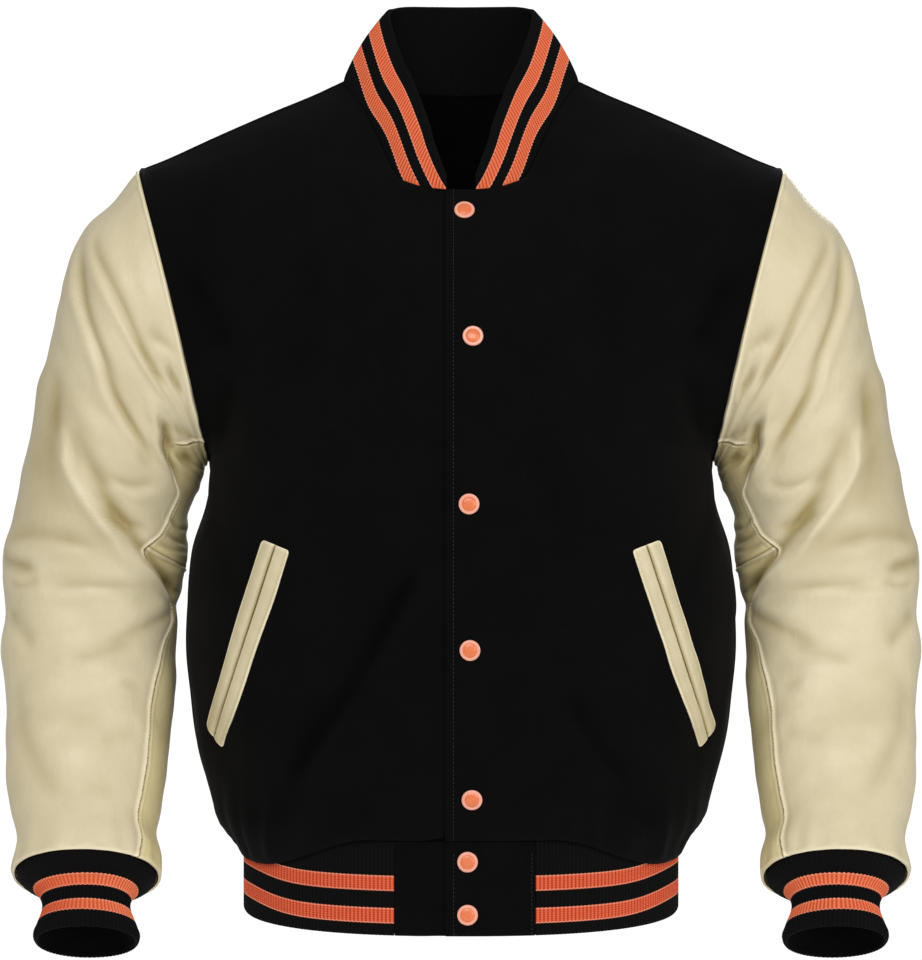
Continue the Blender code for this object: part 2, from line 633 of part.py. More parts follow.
def tree_of(piece):
    """The faces of a piece, for finding places on it."""
    mesh = piece.data
    return BVHTree.FromPolygons([v.co for v in mesh.vertices], [p.vertices for p in mesh.polygons])


def straight_behind(tree, x, z):
    """The point of a piece, and its normal, that lies behind (x, z) as seen from the front."""
    point, normal, *_ = tree.ray_cast(Vector((x, -1, z)), Vector((0, 1, 0)))
    return point, normal


def make_welts(front, side, leather):
    """Two leather strips on either side of the pocket's slit, each crowned along its middle."""
    tree = tree_of(front)
    sign = -1 if side == "right" else 1
    shares = np.linspace(1, 0, WELT_ROWS)
    slit = [straight_behind(tree, sign * float(x), float(z))
            for x, z in zip(*(np.interp(shares, (0, 1), ends) * MM for ends in POCKET.values()))]
    for part, way in (("side", sign), ("front", -sign)):
        base = np.empty((WELT_ROWS, len(WELT_CROWN), 3))
        for row, (point, normal) in enumerate(slit):
            along = slit[min(row + 1, WELT_ROWS - 1)][0] - slit[max(row - 1, 0)][0]
            across = normal.cross(along).normalized()
            across = across if across.x * way > 0 else -across
            for col, step in enumerate(np.linspace(0, WELT_WIDTH, len(WELT_CROWN))):
                base[row, col] = tree.find_nearest(point + across * (WELT_GROOVE / 2 + step))[0]
        if way > 0:
            base = base[:, ::-1]
        out = normals(base)
        inner = base + out * WELT_SEAT
        crown = WELT_CROWN[::-1] if way > 0 else WELT_CROWN
        wall(f"pocket_welt_{part}_{side}", inner + out * WELT_THICK * np.array(crown)[:, None], inner,
             leather)


def snap_mesh(enamel):
    """A press stud's cap: a domed disc with a rolled rim, turned round its own +Z."""
    angle = np.arange(SNAP_SIDES) * 2 * math.pi / SNAP_SIDES
    points = [(r * math.cos(a) * MM, r * math.sin(a) * MM, h * MM)
              for r, h in zip(*SNAP_PROFILE.values()) for a in angle]
    crown = len(points)
    points.append((0, 0, SNAP_CROWN * MM))
    ring = list(range(SNAP_SIDES))
    faces = [ring[::-1]]
    for step in range(len(SNAP_PROFILE["radius"]) - 1):
        for i in ring:
            low, low_next = step * SNAP_SIDES + i, step * SNAP_SIDES + (i + 1) % SNAP_SIDES
            faces.append((low, low_next, low_next + SNAP_SIDES, low + SNAP_SIDES))
    last = crown - SNAP_SIDES
    faces += [(last + i, last + (i + 1) % SNAP_SIDES, crown) for i in ring]
    mesh = bpy.data.meshes.new("snap_cap")
    mesh.from_pydata(points, [], faces)
    mesh.materials.append(enamel)
    mesh.shade_smooth()
    mesh.set_sharp_from_angle(angle=math.radians(40))
    return mesh


def make_snaps(front, tab, enamel):
    """Seven caps down the closing, each square to the cloth it is set in."""
    mesh = snap_mesh(enamel)
    count = len(SNAPS["up"])
    for i, (across, up) in enumerate(zip(*SNAPS.values())):
        piece = tab if i >= count - TAB_SNAPS else front
        point, normal = straight_behind(tree_of(piece), across * MM, up * MM)
        cap = bpy.data.objects.new(f"snap_cap_{i + 1}", mesh)
        bpy.context.collection.objects.link(cap)
        cap.parent = jacket
        cap.location = point + normal * SEAT
        cap.rotation_euler = normal.to_track_quat("Z", "Y").to_euler()


# ---------------------------------------------------------------- the jacket

black_wool = material("black melton wool", "101010", 0.95)
cream_leather = material("cream sheepskin", "D2C5A4", 0.45)
black_rib = material("black rib knit", "0C0C0C", 0.9)
orange_enamel = material("orange enamelled brass", "FF9068", 0.3)

for wearer_side in ("left", "right"):
    make_sleeve(wearer_side, cream_leather)
    make_cuff(wearer_side, black_rib)
make_fronts(black_wool)
make_back(black_wool)
make_waistband(black_rib, black_wool)
make_collar(black_rib)
for wearer_side in ("left", "right"):
    make_welts(bpy.data.objects[f"front_{wearer_side}"], wearer_side, cream_leather)
make_snaps(bpy.data.objects["front_left"], bpy.data.objects["waistband_tab_left"], orange_enamel)
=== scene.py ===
"""Varsity jacket: black melton body, cream leather sleeves, striped rib knit and enamelled snaps.

The jacket keeps the shape it has when worn. Every piece of cloth is a thin closed shell on the form
of its CAD solid, with its folds, seams and ribs worked into it. +Z is up, the front faces -Y and the
wearer's left is at +X. Sizes in the tables are millimetres and degrees.
"""
import math

import bpy
import numpy as np
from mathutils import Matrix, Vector
from mathutils.bvhtree import BVHTree


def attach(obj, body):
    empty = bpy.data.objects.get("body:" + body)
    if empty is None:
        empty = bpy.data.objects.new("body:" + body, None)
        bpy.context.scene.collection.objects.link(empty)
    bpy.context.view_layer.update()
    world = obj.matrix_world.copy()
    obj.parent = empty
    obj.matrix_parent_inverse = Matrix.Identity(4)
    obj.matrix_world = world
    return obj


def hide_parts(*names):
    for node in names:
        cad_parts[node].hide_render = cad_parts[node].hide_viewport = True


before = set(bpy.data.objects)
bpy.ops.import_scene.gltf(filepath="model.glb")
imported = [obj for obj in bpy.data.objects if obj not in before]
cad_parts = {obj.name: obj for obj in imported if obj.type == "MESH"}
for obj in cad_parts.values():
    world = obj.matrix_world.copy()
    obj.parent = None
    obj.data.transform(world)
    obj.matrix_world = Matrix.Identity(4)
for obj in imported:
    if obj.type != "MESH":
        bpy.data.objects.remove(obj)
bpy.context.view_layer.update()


# ---------------------------------------------------------------- leather sleeves
# Two-piece sleeves of cream sheepskin. The top sleeve runs from seam to seam over the outer arm, and
# the under sleeve is parted by a cross seam at the elbow. The leather is 1.6 mm thick, drum-dyed and
# lightly finished, so it creases in soft rolls and its edges stand up in a ridge along each seam.

MM = 0.001
LEATHER = 1.6 * MM
SEAM = 0.4 * MM            # between the edges of two pieces that are sewn together
SLEEVE_STEP = 3.3          # between rows and columns of a sleeve's mesh
EDGE_STEPS = (0, 0.6, 1.25, 1.95, 2.7, 3.5, 4.5, 5.8, 7.6, 10)   # and close to a seam
RIDGE_AT = 2.2             # from a seam to the ridge along it, on which its stitches lie
SHARP = math.radians(52)   # an edge that turns by more than this is shaded sharp


def table(columns, *rows):
    """Rows of numbers as one array for each named column."""
    return dict(zip(columns.split(), np.array(rows, dtype=float).T))


SLEEVE = table(
    "along outer_x outer_z inner_x inner_z forward depth tilt bow front_seam back_seam",
    (0, 257, -69.8, 201.4, -300, 0, 76, 0, 5, 153, 204),
    (27, 274.6, -91.2, 202.6, -302.5, 0, 77, 0, 4, 149, 208),
    (59, 299, -114.4, 204, -306, 0, 77, 0, 2, 144, 213),
    (89, 311.2, -141.6, 205.4, -310, 0, 77, 0, 1, 139, 217),
    (128, 322.4, -178.4, 207, -316, -1, 76, 0, 0, 131, 221),
    (161, 328.8, -210.4, 210, -324, -2, 75, 0, 0, 135, 224),
    (191, 336.6, -239.2, 214.4, -334, -3, 74, 0, 0, 149, 227),
    (223, 342.8, -271.2, 218.8, -347, -4, 72, 0, 0, 149, 229),
    (266, 351.4, -312.8, 219.8, -366.5, -5, 69, 0, 0, 139, 231),
    (303, 359, -349.6, 219.6, -384, -5, 66, 1, 0, 126, 232),
    (336, 366.4, -381.6, 223.5, -401.6, -4, 63, 4, 0, 147, 232),
    (358, 366.6, -404, 228, -414, -2, 61, 8, 0, 162, 232),
    (387, 363.6, -431, 226.6, -434, 2, 60, 14, 0, 164, 232),
    (409, 366.4, -454.8, 227.4, -455, 8, 58, 19, 0, 155, 232),
    (438, 361.7, -483.6, 227, -483.6, 20, 55, 24, 0, 146, 231),
    (462, 360.1, -507.5, 229, -507.5, 31, 53, 27, 0, 143, 230),
    (486, 359.1, -531.3, 230.8, -531.3, 44, 52, 29, 0, 143, 229),
    (510, 355.9, -553, 231.9, -553, 56, 51, 30, 0, 143, 228),
    (533, 351, -575.4, 235, -575.4, 69, 49, 31, 0, 143, 228),
    (554, 347.2, -595.4, 236.8, -595.4, 81, 47.5, 31, 0, 142, 228),
    (567, 347.2, -608.6, 232.6, -608.6, 89, 49, 31, 0, 141, 228),
    (584, 348.1, -624, 231.6, -624, 98, 50, 31, 0, 138, 228))
SLEEVE_ROUND = 2.1         # the power of a sleeve's section: 2 is an ellipse
SLEEVE_LENGTH = 584
ELBOW_SEAM = 320           # down the sleeve to the back end of the cross seam
ELBOW_SLANT = 30           # and how much higher its front end is
AROUND = 1.2               # millimetres round a sleeve for each degree, about

# Creases: depth, width, share of the depth that the roll beside it has, and then its course, by the
# length down the sleeve and the angle round it. On a course that runs down and to larger angles the
# roll lies ahead of it, or behind it if its share is negative. A negative depth is a raised fold.
SLEEVE_CREASES = (
    # front: the long folds from the shoulder, then the armpit, the elbow and the forearm
    (3.8, 6.5, 0.75, (66, 16), (81, 31), (100, 50), (119, 73), (143, 88), (164, 110), (185, 121)),
    (3.4, 6.0, 0.75, (50, 28), (59, 42), (60, 73), (62, 95), (57, 106), (46, 113)),
    (2.2, 4.0, 0.7, (54, 89), (41, 92), (32, 95), (16, 102), (6, 107)),
    (2.6, 6.0, 0.4, (33, 102), (36, 112), (22, 120)),
    (1.6, 4.0, 0.6, (48, 104), (36, 112), (28, 118)),
    (6.4, 6.2, 0.95, (78, 129), (104, 122), (126, 126), (146, 128), (162, 138), (174, 148)),
    (2.2, 6.0, 0.5, (94, 128), (63, 136), (34, 147)),
    (3.6, 9.0, 0.2, (140, 137), (118, 145), (84, 152)),
    (1.7, 17.0, 0.1, (160, 42), (205, 46), (250, 54), (292, 68)),
    (-3.4, 4.2, -0.4, (203, 56), (221, 62), (244, 68), (262, 82), (276, 92), (295, 103), (320, 115)),
    (5.6, 9.0, 0.5, (226, 78), (256, 98), (290, 119), (318, 139), (345, 158), (364, 169)),
    (-2.6, 4.0, -0.4, (302, 113), (332, 138), (354, 156), (368, 164)),
    (2.4, 9.0, 0.5, (196, 66), (214, 76), (233, 88), (244, 99)),
    (2.0, 6.0, 0.7, (222, 92), (224, 106), (212, 119), (194, 125)),
    (1.7, 7.0, 0.6, (268, 90), (271, 109), (262, 128)),
    (1.5, 9.0, 0.6, (135, 72), (155, 93), (180, 110), (204, 124)),
    (1.2, 11, 0.5, (160, 40), (193, 46), (222, 54)),
    (1.8, 8.0, 0.6, (322, 12), (309, 56), (309, 96)),
    (3.6, 8.0, 0.5, (334, 4), (337, 20), (341, 43), (346, 62)),
    (2.8, 7.0, 0.5, (352, 20), (360, 46), (353, 62)),
    (2.2, 7.0, 0.6, (380, 16), (401, 43), (421, 58)),
    (1.7, 8.0, 0.6, (364, 66), (356, 96), (357, 130)),
    (2.3, 6.5, 0.6, (374, 166), (382, 156), (405, 126), (422, 102)),
    (1.6, 8.0, 0.6, (437, 78), (426, 100), (414, 130)),
    (1.5, 12, 0.5, (440, 30), (462, 38), (492, 46), (530, 64), (546, 86)),
    (0.8, 10, 0.5, (476, 50), (482, 83), (480, 112)),
    (1.0, 9.0, 0.6, (505, 96), (492, 118), (486, 134)),
    (1.0, 10, 0.6, (549, 68), (539, 96), (538, 122)),
    (1.2, 5.0, 0.6, (449, 112), (454, 132)),
    (2.0, 4.5, 0.6, (234, 146), (246, 158), (245, 178)),
    (2.0, 4.5, 0.6, (260, 142), (268, 156), (272, 180)),
    (1.6, 3.5, 0.6, (280, 133), (285, 150), (283, 180)),
    (1.5, 4.5, 0.6, (300, 136), (309, 152), (306, 176)),
    (2.0, 5.0, 0.6, (336, 150), (346, 168), (342, 190)),
    # back
    (6.0, 13, 0.7, (356, 196), (340, 240), (318, 292)),
    (4.5, 11, 0.6, (392, 214), (402, 270), (400, 330)),
    (4.5, 12, 0.6, (110, 344), (150, 300), (196, 246)),
    (4.0, 12, -0.6, (262, 336), (270, 286), (292, 236)),
    (4.0, 12, 0.6, (500, 340), (486, 300), (462, 262)),
    (3.0, 7.0, 0.7, (60, 318), (74, 280), (66, 244)),
    (2.6, 7.0, 0.6, (142, 330), (170, 292), (210, 262)),
    (-2.6, 6.0, 0.5, (232, 300), (250, 262), (276, 226)),
    (3.0, 8.0, 0.6, (334, 210), (346, 254), (336, 312)),
    (2.6, 7.0, 0.6, (424, 226), (432, 280), (426, 322)),
    (2.2, 6.0, 0.6, (372, 200), (380, 236), (374, 268)),
    (1.8, 7.0, 0.5, (540, 250), (530, 290), (536, 330)),
    (2.0, 6.0, 0.6, (30, 232), (66, 222), (104, 226)),
    (1.6, 6.0, 0.5, (216, 214), (226, 236), (222, 262)),
    (1.8, 7.0, 0.5, (452, 200), (470, 232), (464, 258)))
CREASE_REACH = 3.6         # how far from its course a crease still acts, in its own widths
CREASE_FALL = 1.45         # how sharply its sides fall: 1 is a sharp line, 2 is a round hollow
CREASE_ROLL = (1.9, 1.2)   # the place and the width of the roll beside it, in its own widths
CREASE_ENDS = 3.2          # it deepens over one part in this many of its course, from either end
SLEEVE_CALM = (34, 26)     # creases die away this close to the armhole and to the cuff
SHADE_DEPTH = 4.4           # painted shade darkens the leather most in a crease as deep as this
HIGHLIGHT_RISE = 3.2           # and a painted highlight makes it palest on a fold as high as this
PALE_RIDGE_LINE = (2.3, 1.2)   # the place and the width of the pale line along a seam's ridge: painted highlight, with rubbed wear
TOP_RIDGE = 1.25           # how high the ridge stands along the seams of the top sleeve,
UNDER_RIDGE = 0.4          # along those of the under sleeve,
UPPER_RIDGE = 0.9          # along the upper end of each piece
LOWER_RIDGE = 0.3          # and along the lower end of the under sleeve's upper half
PUCKER = 7.3               # from one pucker of a seam to the next
ARMPIT_LENGTH = (105, 52)  # the armpit shades a sleeve round this length down it, for this far,
ARMPIT_ANGLE = (158, 26)   # and round this angle
HIDE_CLOUD = 45 * MM       # size of the hide's clouds of tone
HIDE_FLECK = 3.5 * MM      # of its flecks
HIDE_GRAIN = 1.4 * MM      # of its grain, drawn about twice as coarse as it is so that it shows
HIDE_WRINKLE = 11 * MM     # and of its fine wrinkles

# Painted shade on the outer arm above the elbow, which turns away from the light, as far round as a ridge
OUTER_SHADE = table(
    "along ridge",
    (150, 40), (180, 47), (203, 56), (221, 62), (244, 69), (262, 82), (276, 92), (295, 103), (325, 117))


def smooth(at, knots, values):
    """Read a smooth curve through the knots, at one place or at many."""
    at = np.clip(np.asarray(at, dtype=float), knots[0], knots[-1])
    slopes = np.gradient(values, knots, axis=0)
    i = np.clip(np.searchsorted(knots, at) - 1, 0, len(knots) - 2)
    step, t = knots[i + 1] - knots[i], (at - knots[i]) / (knots[i + 1] - knots[i])
    if np.ndim(values) > 1:
        step, t = (x.reshape(x.shape + (1,) * (np.ndim(values) - 1)) for x in (step, t))
    bend = step * t * (1 - t) * ((1 - t) * slopes[i] - t * slopes[i + 1])
    return (1 + 2 * t) * (1 - t) ** 2 * values[i] + t * t * (3 - 2 * t) * values[i + 1] + bend


def ease(x):
    """A soft step from 0 to 1."""
    x = np.clip(x, 0, 1)
    return x * x * (3 - 2 * x)


def bump(x, middle, width):
    """A soft hump of height 1."""
    return np.exp(-((x - middle) / width) ** 2)


def power(x, exponent):
    """A power that keeps the sign."""
    return np.sign(x) * np.abs(x) ** exponent


def unit(vectors):
    """The same directions, each with a length of 1."""
    return vectors / np.linalg.norm(vectors, axis=-1, keepdims=True)


def normals(grid, closed=False):
    """Outward normals of a grid with its rows going up and its columns to the left, from outside."""
    if closed:
        grid = np.concatenate([grid[:, -1:], grid, grid[:, :1]], axis=1)
    out = unit(np.cross(np.gradient(grid, axis=0), np.gradient(grid, axis=1)))
    return out[:, 1:-1] if closed else out


def mirrored(grid):
    """The same grid on the other side of the body, still with its outer side out."""
    return (grid * (-1, 1, 1))[:, ::-1]


def marks(length, step):
    """Places along a length, close together by its two ends."""
    lead = np.array(EDGE_STEPS, dtype=float)
    middle = np.linspace(lead[-1], length - lead[-1], round((length - 2 * lead[-1]) / step) + 1)
    return np.concatenate([lead, middle[1:-1], length - lead[::-1]])


def from_edges(grid):
    """How far each point of a grid is from its four edges, in millimetres along the cloth."""
    reach = {}
    for axis, (start, end) in ((0, ("bottom", "top")), (1, ("first", "last"))):
        steps = np.linalg.norm(np.diff(grid, axis=axis), axis=-1) / MM
        run = np.concatenate([np.zeros_like(np.take(steps, [0], axis)), np.cumsum(steps, axis)], axis)
        reach[start], reach[end] = run, np.take(run, [-1], axis) - run
    return reach


def creases(rows, a, b, b_scale=1.0, turn=None):
    """How far creases push the cloth out at places (a, b), in metres."""
    push = np.zeros(np.broadcast(a, b).shape)
    for n, (depth, width, ridge, *course) in enumerate(rows):
        knots = np.array(course, dtype=float)
        here_b = b if turn is None else (b - knots[:, 1].mean() + turn / 2) % turn + (
            knots[:, 1].mean() - turn / 2)
        line = smooth(np.linspace(0, len(knots) - 1, 6 * len(knots)), np.arange(len(knots)), knots)
        line = line * (1, b_scale)
        room = CREASE_REACH * width
        near = ((a > line[:, 0].min() - room) & (a < line[:, 0].max() + room)
                & (here_b * b_scale > line[:, 1].min() - room)
                & (here_b * b_scale < line[:, 1].max() + room))
        if not near.any():
            continue
        place = np.stack([np.broadcast_to(a, push.shape)[near], here_b[near] * b_scale], axis=-1)
        best, off, share = np.full(len(place), 1e9), np.zeros(len(place)), np.zeros(len(place))
        for i, (start, end) in enumerate(zip(line[:-1], line[1:])):
            along = end - start
            size = np.linalg.norm(along)
            t = np.clip(((place - start) @ along) / size ** 2, 0, 1)
            gap = place - (start + t[:, None] * along)
            far = np.linalg.norm(gap, axis=1)
            closer = far < best
            side = np.sign(gap[:, 0] * along[1] - gap[:, 1] * along[0])
            best = np.where(closer, far, best)
            off = np.where(closer, side * far, off)
            share = np.where(closer, (i + t) / (len(line) - 1), share)
        off = off / width * np.sign(ridge)
        uneven = 0.86 + 0.14 * np.sin(9 * share + 2.1 * n)
        fade = ease(CREASE_ENDS * share + 0.06) * ease(CREASE_ENDS * (1 - share) + 0.06) * uneven
        shape = abs(ridge) * bump(off, *CREASE_ROLL) - np.exp(-np.abs(off) ** CREASE_FALL)
        push[near] += depth * MM * fade * shape
    return push


def sleeve_points(along, angle):
    """Outer points of the left sleeve at lengths down it and angles round it, before its creases."""
    at = {name: smooth(along, SLEEVE["along"], values)[..., None]
          for name, values in SLEEVE.items() if name != "along"}
    outer = np.concatenate([at["outer_x"], -at["forward"], at["outer_z"]], axis=-1)
    inner = np.concatenate([at["inner_x"], -at["forward"], at["inner_z"]], axis=-1)
    tilt = np.radians(at["tilt"])
    front = at["depth"] * np.concatenate([0 * tilt, -np.cos(tilt), np.sin(tilt)], axis=-1)
    angle = np.radians(angle)[..., None]
    points = (outer + inner) / 2 + (outer - inner) / 2 * power(np.cos(angle), 2 / SLEEVE_ROUND)
    points = points + front * power(np.sin(angle), 2 / SLEEVE_ROUND)
    points[..., :1] -= at["bow"] * np.sin(angle) ** 2
    return points * MM


def armhole(angle):
    """Points of the left armhole seam, by the angle round it."""
    return sleeve_points(np.zeros(np.shape(angle)), angle)


def armhole_out(points):
    """From the middle of the armhole out through its seam, and away from the body: its mitre."""
    away = unit(points - armhole(np.array([0.0, 180.0])).mean(axis=0))
    return unit(away + (0.5, 0, 0))


def swell(along, angle, seed, count=26):
    """The slight unevenness of hide and wool that hangs, as waves that close round a sleeve. They are
    24 to 110 mm long, and the longer ones are higher, up to a length of 70 mm."""
    rng = np.random.default_rng(seed)
    push = np.zeros(np.broadcast(along, angle).shape)
    for _ in range(count):
        wave = rng.uniform(24, 110)
        turns = rng.integers(-7, 8)
        phase = 2 * math.pi * along / wave + turns * np.radians(angle) + rng.uniform(0, 6.28)
        push += 0.011 * min(wave, 70) * np.sin(phase)
    return push / math.sqrt(count) * 1.9 * MM


def stitched_edge(gap, height):
    """A seam from the side that is folded under and stitched down: its groove, ridge and furrow."""
    ridge, groove, furrow = bump(gap, RIDGE_AT, 1.3), bump(gap, 0, 0.8), bump(gap, 4.9, 1.4)
    return height * MM * (ridge - 1.1 * groove - 0.4 * furrow)


def lean(out, gap, towards, reach=3.0):
    """Turn a wall's outward directions to those of its seam, close to that seam."""
    near = np.exp(-(gap / reach) ** 2)[..., None]
    return unit(out * (1 - near) + towards * near)


def wall_faces(at, count, closed):
    """The faces of a closed shell, by the numbers of its outer points. Count is how many it has."""
    low, low_next, high, high_next = at[:-1, :-1], at[:-1, 1:], at[1:, :-1], at[1:, 1:]
    skin = np.stack([high, high_next, low_next, low], axis=-1).reshape(-1, 4)
    rims = [(at[0, 1:], at[0, :-1]), (at[-1, :-1], at[-1, 1:])]
    if not closed:
        rims += [(at[:-1, 0], at[1:, 0]), (at[1:, -1], at[:-1, -1])]
    rim = np.concatenate([np.stack([a, a + count, b + count, b], axis=-1) for a, b in rims])
    return np.concatenate([skin, skin[:, ::-1] + count, rim]), len(skin)


def shell(name, outer, inner, finishes, closed=False, cut=None, **values):
    """A closed shell between two grids of points, the first finish outside and the last one inside.
    The cut is where each point lies on the flat cloth, with one more column for a closed tube, and
    the values go in as attributes."""
    rows, cols = outer.shape[:2]
    count = rows * cols
    at = np.arange(count).reshape(rows, cols)
    if closed:
        at = np.concatenate([at, at[:, :1]], axis=1)
    faces, skins = wall_faces(at, count, closed)
    points = np.concatenate([outer.reshape(-1, 3), inner.reshape(-1, 3)])
    mesh = bpy.data.meshes.new(name)
    mesh.vertices.add(len(points))
    mesh.vertices.foreach_set("co", points.astype(np.float32).ravel())
    mesh.loops.add(faces.size)
    mesh.loops.foreach_set("vertex_index", faces.astype(np.int32).ravel())
    mesh.polygons.add(len(faces))
    mesh.polygons.foreach_set("loop_start", np.arange(0, faces.size, 4, dtype=np.int32))
    mesh.update(calc_edges=True)
    for finish in finishes:
        mesh.materials.append(finish)
    slots = np.zeros(len(faces), dtype=np.int32)
    slots[skins:] = len(finishes) - 1
    mesh.polygons.foreach_set("material_index", slots)
    if cut is not None:
        size = cut.shape[0] * cut.shape[1]
        corners, _ = wall_faces(np.arange(size).reshape(cut.shape[:2]), size, closed)
        flat = np.concatenate([cut.reshape(-1, 2)] * 2)[corners.ravel()]
        mesh.uv_layers.new(name="cut").data.foreach_set("uv", flat.astype(np.float32).ravel())
    for label, value in values.items():
        layer = mesh.attributes.new(label, "FLOAT", "POINT")
        value = np.broadcast_to(value, (rows, cols)).ravel()
        layer.data.foreach_set("value", np.concatenate([value, value]).astype(np.float32))
    mesh.shade_smooth()
    mesh.set_sharp_from_angle(angle=SHARP)
    piece = bpy.data.objects.new(name, mesh)
    bpy.context.collection.objects.link(piece)
    return piece


def linear(colour):
    """An sRGB hex colour as linear values."""
    channels = [int(colour[i:i + 2], 16) / 255 for i in (0, 2, 4)]
    return (*[c / 12.92 if c <= 0.04045 else ((c + 0.055) / 1.055) ** 2.4 for c in channels], 1)


def add_node(tree, kind, inputs=None, **settings):
    """Add one node with its settings, and link or set its inputs."""
    node = tree.nodes.new(kind)
    for name, value in settings.items():
        setattr(node, name, value)
    for name, value in (inputs or {}).items():
        if isinstance(value, bpy.types.NodeSocket):
            tree.links.new(value, node.inputs[name])
        else:
            node.inputs[name].default_value = value
    return node


def new_finish(name, **constants):
    """An empty finish with its Principled shader, and that shader's plain values."""
    finish = bpy.data.materials.new(name)
    finish.use_nodes = True
    shader = finish.node_tree.nodes["Principled BSDF"]
    for socket, value in constants.items():
        shader.inputs[socket.replace("_", " ")].default_value = value
    return finish, finish.node_tree, shader


def cream_sheepskin(name, hide):
    """Drum-dyed sheepskin with a light finish: pale cream, with painted shade in olive in its creases
    and along its seams, a painted highlight with some rubbed wear on its ridges, a close grain and a broken,
    low gloss. The hide is the tone of its flats."""
    finish, tree, shader = new_finish(name, IOR=1.46, Metallic=0.0)
    place = add_node(tree, "ShaderNodeTexCoord").outputs["Object"]
    hollow, rubbed = (add_node(tree, "ShaderNodeAttribute", attribute_name=label).outputs["Fac"]
                      for label in ("hollow", "rubbed"))
    clouds = add_node(tree, "ShaderNodeTexNoise", {
        "Vector": place, "Scale": 1 / HIDE_CLOUD, "Detail": 3.0, "Roughness": 0.55}).outputs["Fac"]
    flecks = add_node(tree, "ShaderNodeTexNoise", {
        "Vector": place, "Scale": 1 / HIDE_FLECK, "Detail": 4.0, "Roughness": 0.6}).outputs["Fac"]
    grain = add_node(tree, "ShaderNodeTexVoronoi", {
        "Vector": place, "Scale": 1 / HIDE_GRAIN}, feature="DISTANCE_TO_EDGE").outputs["Distance"]
    pulled = add_node(tree, "ShaderNodeMapping", {
        "Vector": place, "Scale": (1.0, 1.0, 0.45)}).outputs["Vector"]
    wrinkles = add_node(tree, "ShaderNodeTexNoise", {
        "Vector": pulled, "Scale": 1 / HIDE_WRINKLE, "Detail": 5.0, "Roughness": 0.62,
        "Distortion": 0.6}).outputs["Fac"]
    tone = add_node(tree, "ShaderNodeMapRange", {
        "Value": clouds, "From Min": 0.3, "From Max": 0.7, "To Min": 0.0, "To Max": 0.18})
    # painted shade: this attribute mixes in the olive of shaded creases and seams
    tone = add_node(tree, "ShaderNodeMath", {0: hollow, 1: 0.95, 2: tone.outputs["Result"]},
                    operation="MULTIPLY_ADD", use_clamp=True)
    body = add_node(tree, "ShaderNodeMix", {
        "Factor": tone.outputs[0], "A": linear(hide), "B": linear("A08F5C")}, data_type="RGBA")
    fleck = add_node(tree, "ShaderNodeMapRange", {
        "Value": flecks, "From Min": 0.35, "From Max": 0.75, "To Min": 0.0, "To Max": 0.14})
    body = add_node(tree, "ShaderNodeMix", {
        "Factor": fleck.outputs["Result"], "A": body.outputs["Result"], "B": linear("C3B286")},
        data_type="RGBA")
    # painted highlight, with some rubbed wear: this attribute mixes in a paler cream on ridges and seam
    # edges
    edge = add_node(tree, "ShaderNodeMath", {0: rubbed, 1: 0.75}, operation="MULTIPLY", use_clamp=True)
    body = add_node(tree, "ShaderNodeMix", {
        "Factor": edge.outputs[0], "A": body.outputs["Result"], "B": linear("F2E6C6")},
        data_type="RGBA")
    tree.links.new(body.outputs["Result"], shader.inputs["Base Color"])
    gloss = add_node(tree, "ShaderNodeMapRange", {
        "Value": clouds, "From Min": 0.3, "From Max": 0.7, "To Min": 0.34, "To Max": 0.48})
    tree.links.new(gloss.outputs["Result"], shader.inputs["Roughness"])
    pores = add_node(tree, "ShaderNodeMapRange", {
        "Value": grain, "From Min": 0.0, "From Max": 0.12, "To Min": 0.0, "To Max": 1.0})
    fine = add_node(tree, "ShaderNodeBump", {
        "Height": pores.outputs["Result"], "Strength": 0.22, "Distance": 0.12 * MM})
    soft = add_node(tree, "ShaderNodeBump", {
        "Height": wrinkles, "Strength": 0.5, "Distance": 1.1 * MM, "Normal": fine.outputs["Normal"]})
    tree.links.new(soft.outputs["Normal"], shader.inputs["Normal"])
    return finish


def cross_seam(share):
    """How far down the under sleeve its cross seam lies, by the share of the way to the back."""
    return ELBOW_SEAM - ELBOW_SLANT * (1 - share) ** 2


def painted_outer_shade(along, angle):
    """How much painted shade the outer arm gets where it turns away from the light, from 0 to 1: from a
    little behind it round to its ridge, and from below the shoulder down to the elbow."""
    slack = ease((smooth(along, OUTER_SHADE["along"], OUTER_SHADE["ridge"]) - angle) / 8) * ease((angle + 30) / 34)
    return slack * ease((along - 150) / 50) * ease((340 - along) / 40)


def front_seam_shown(along):
    """How much of the front seam shows: it runs in under the fold by the armpit and the one at the
    elbow."""
    return 1 - 0.9 * ease(2.2 - np.abs(along - 136) / 18) - 0.95 * ease(2.3 - np.abs(along - 343) / 20)


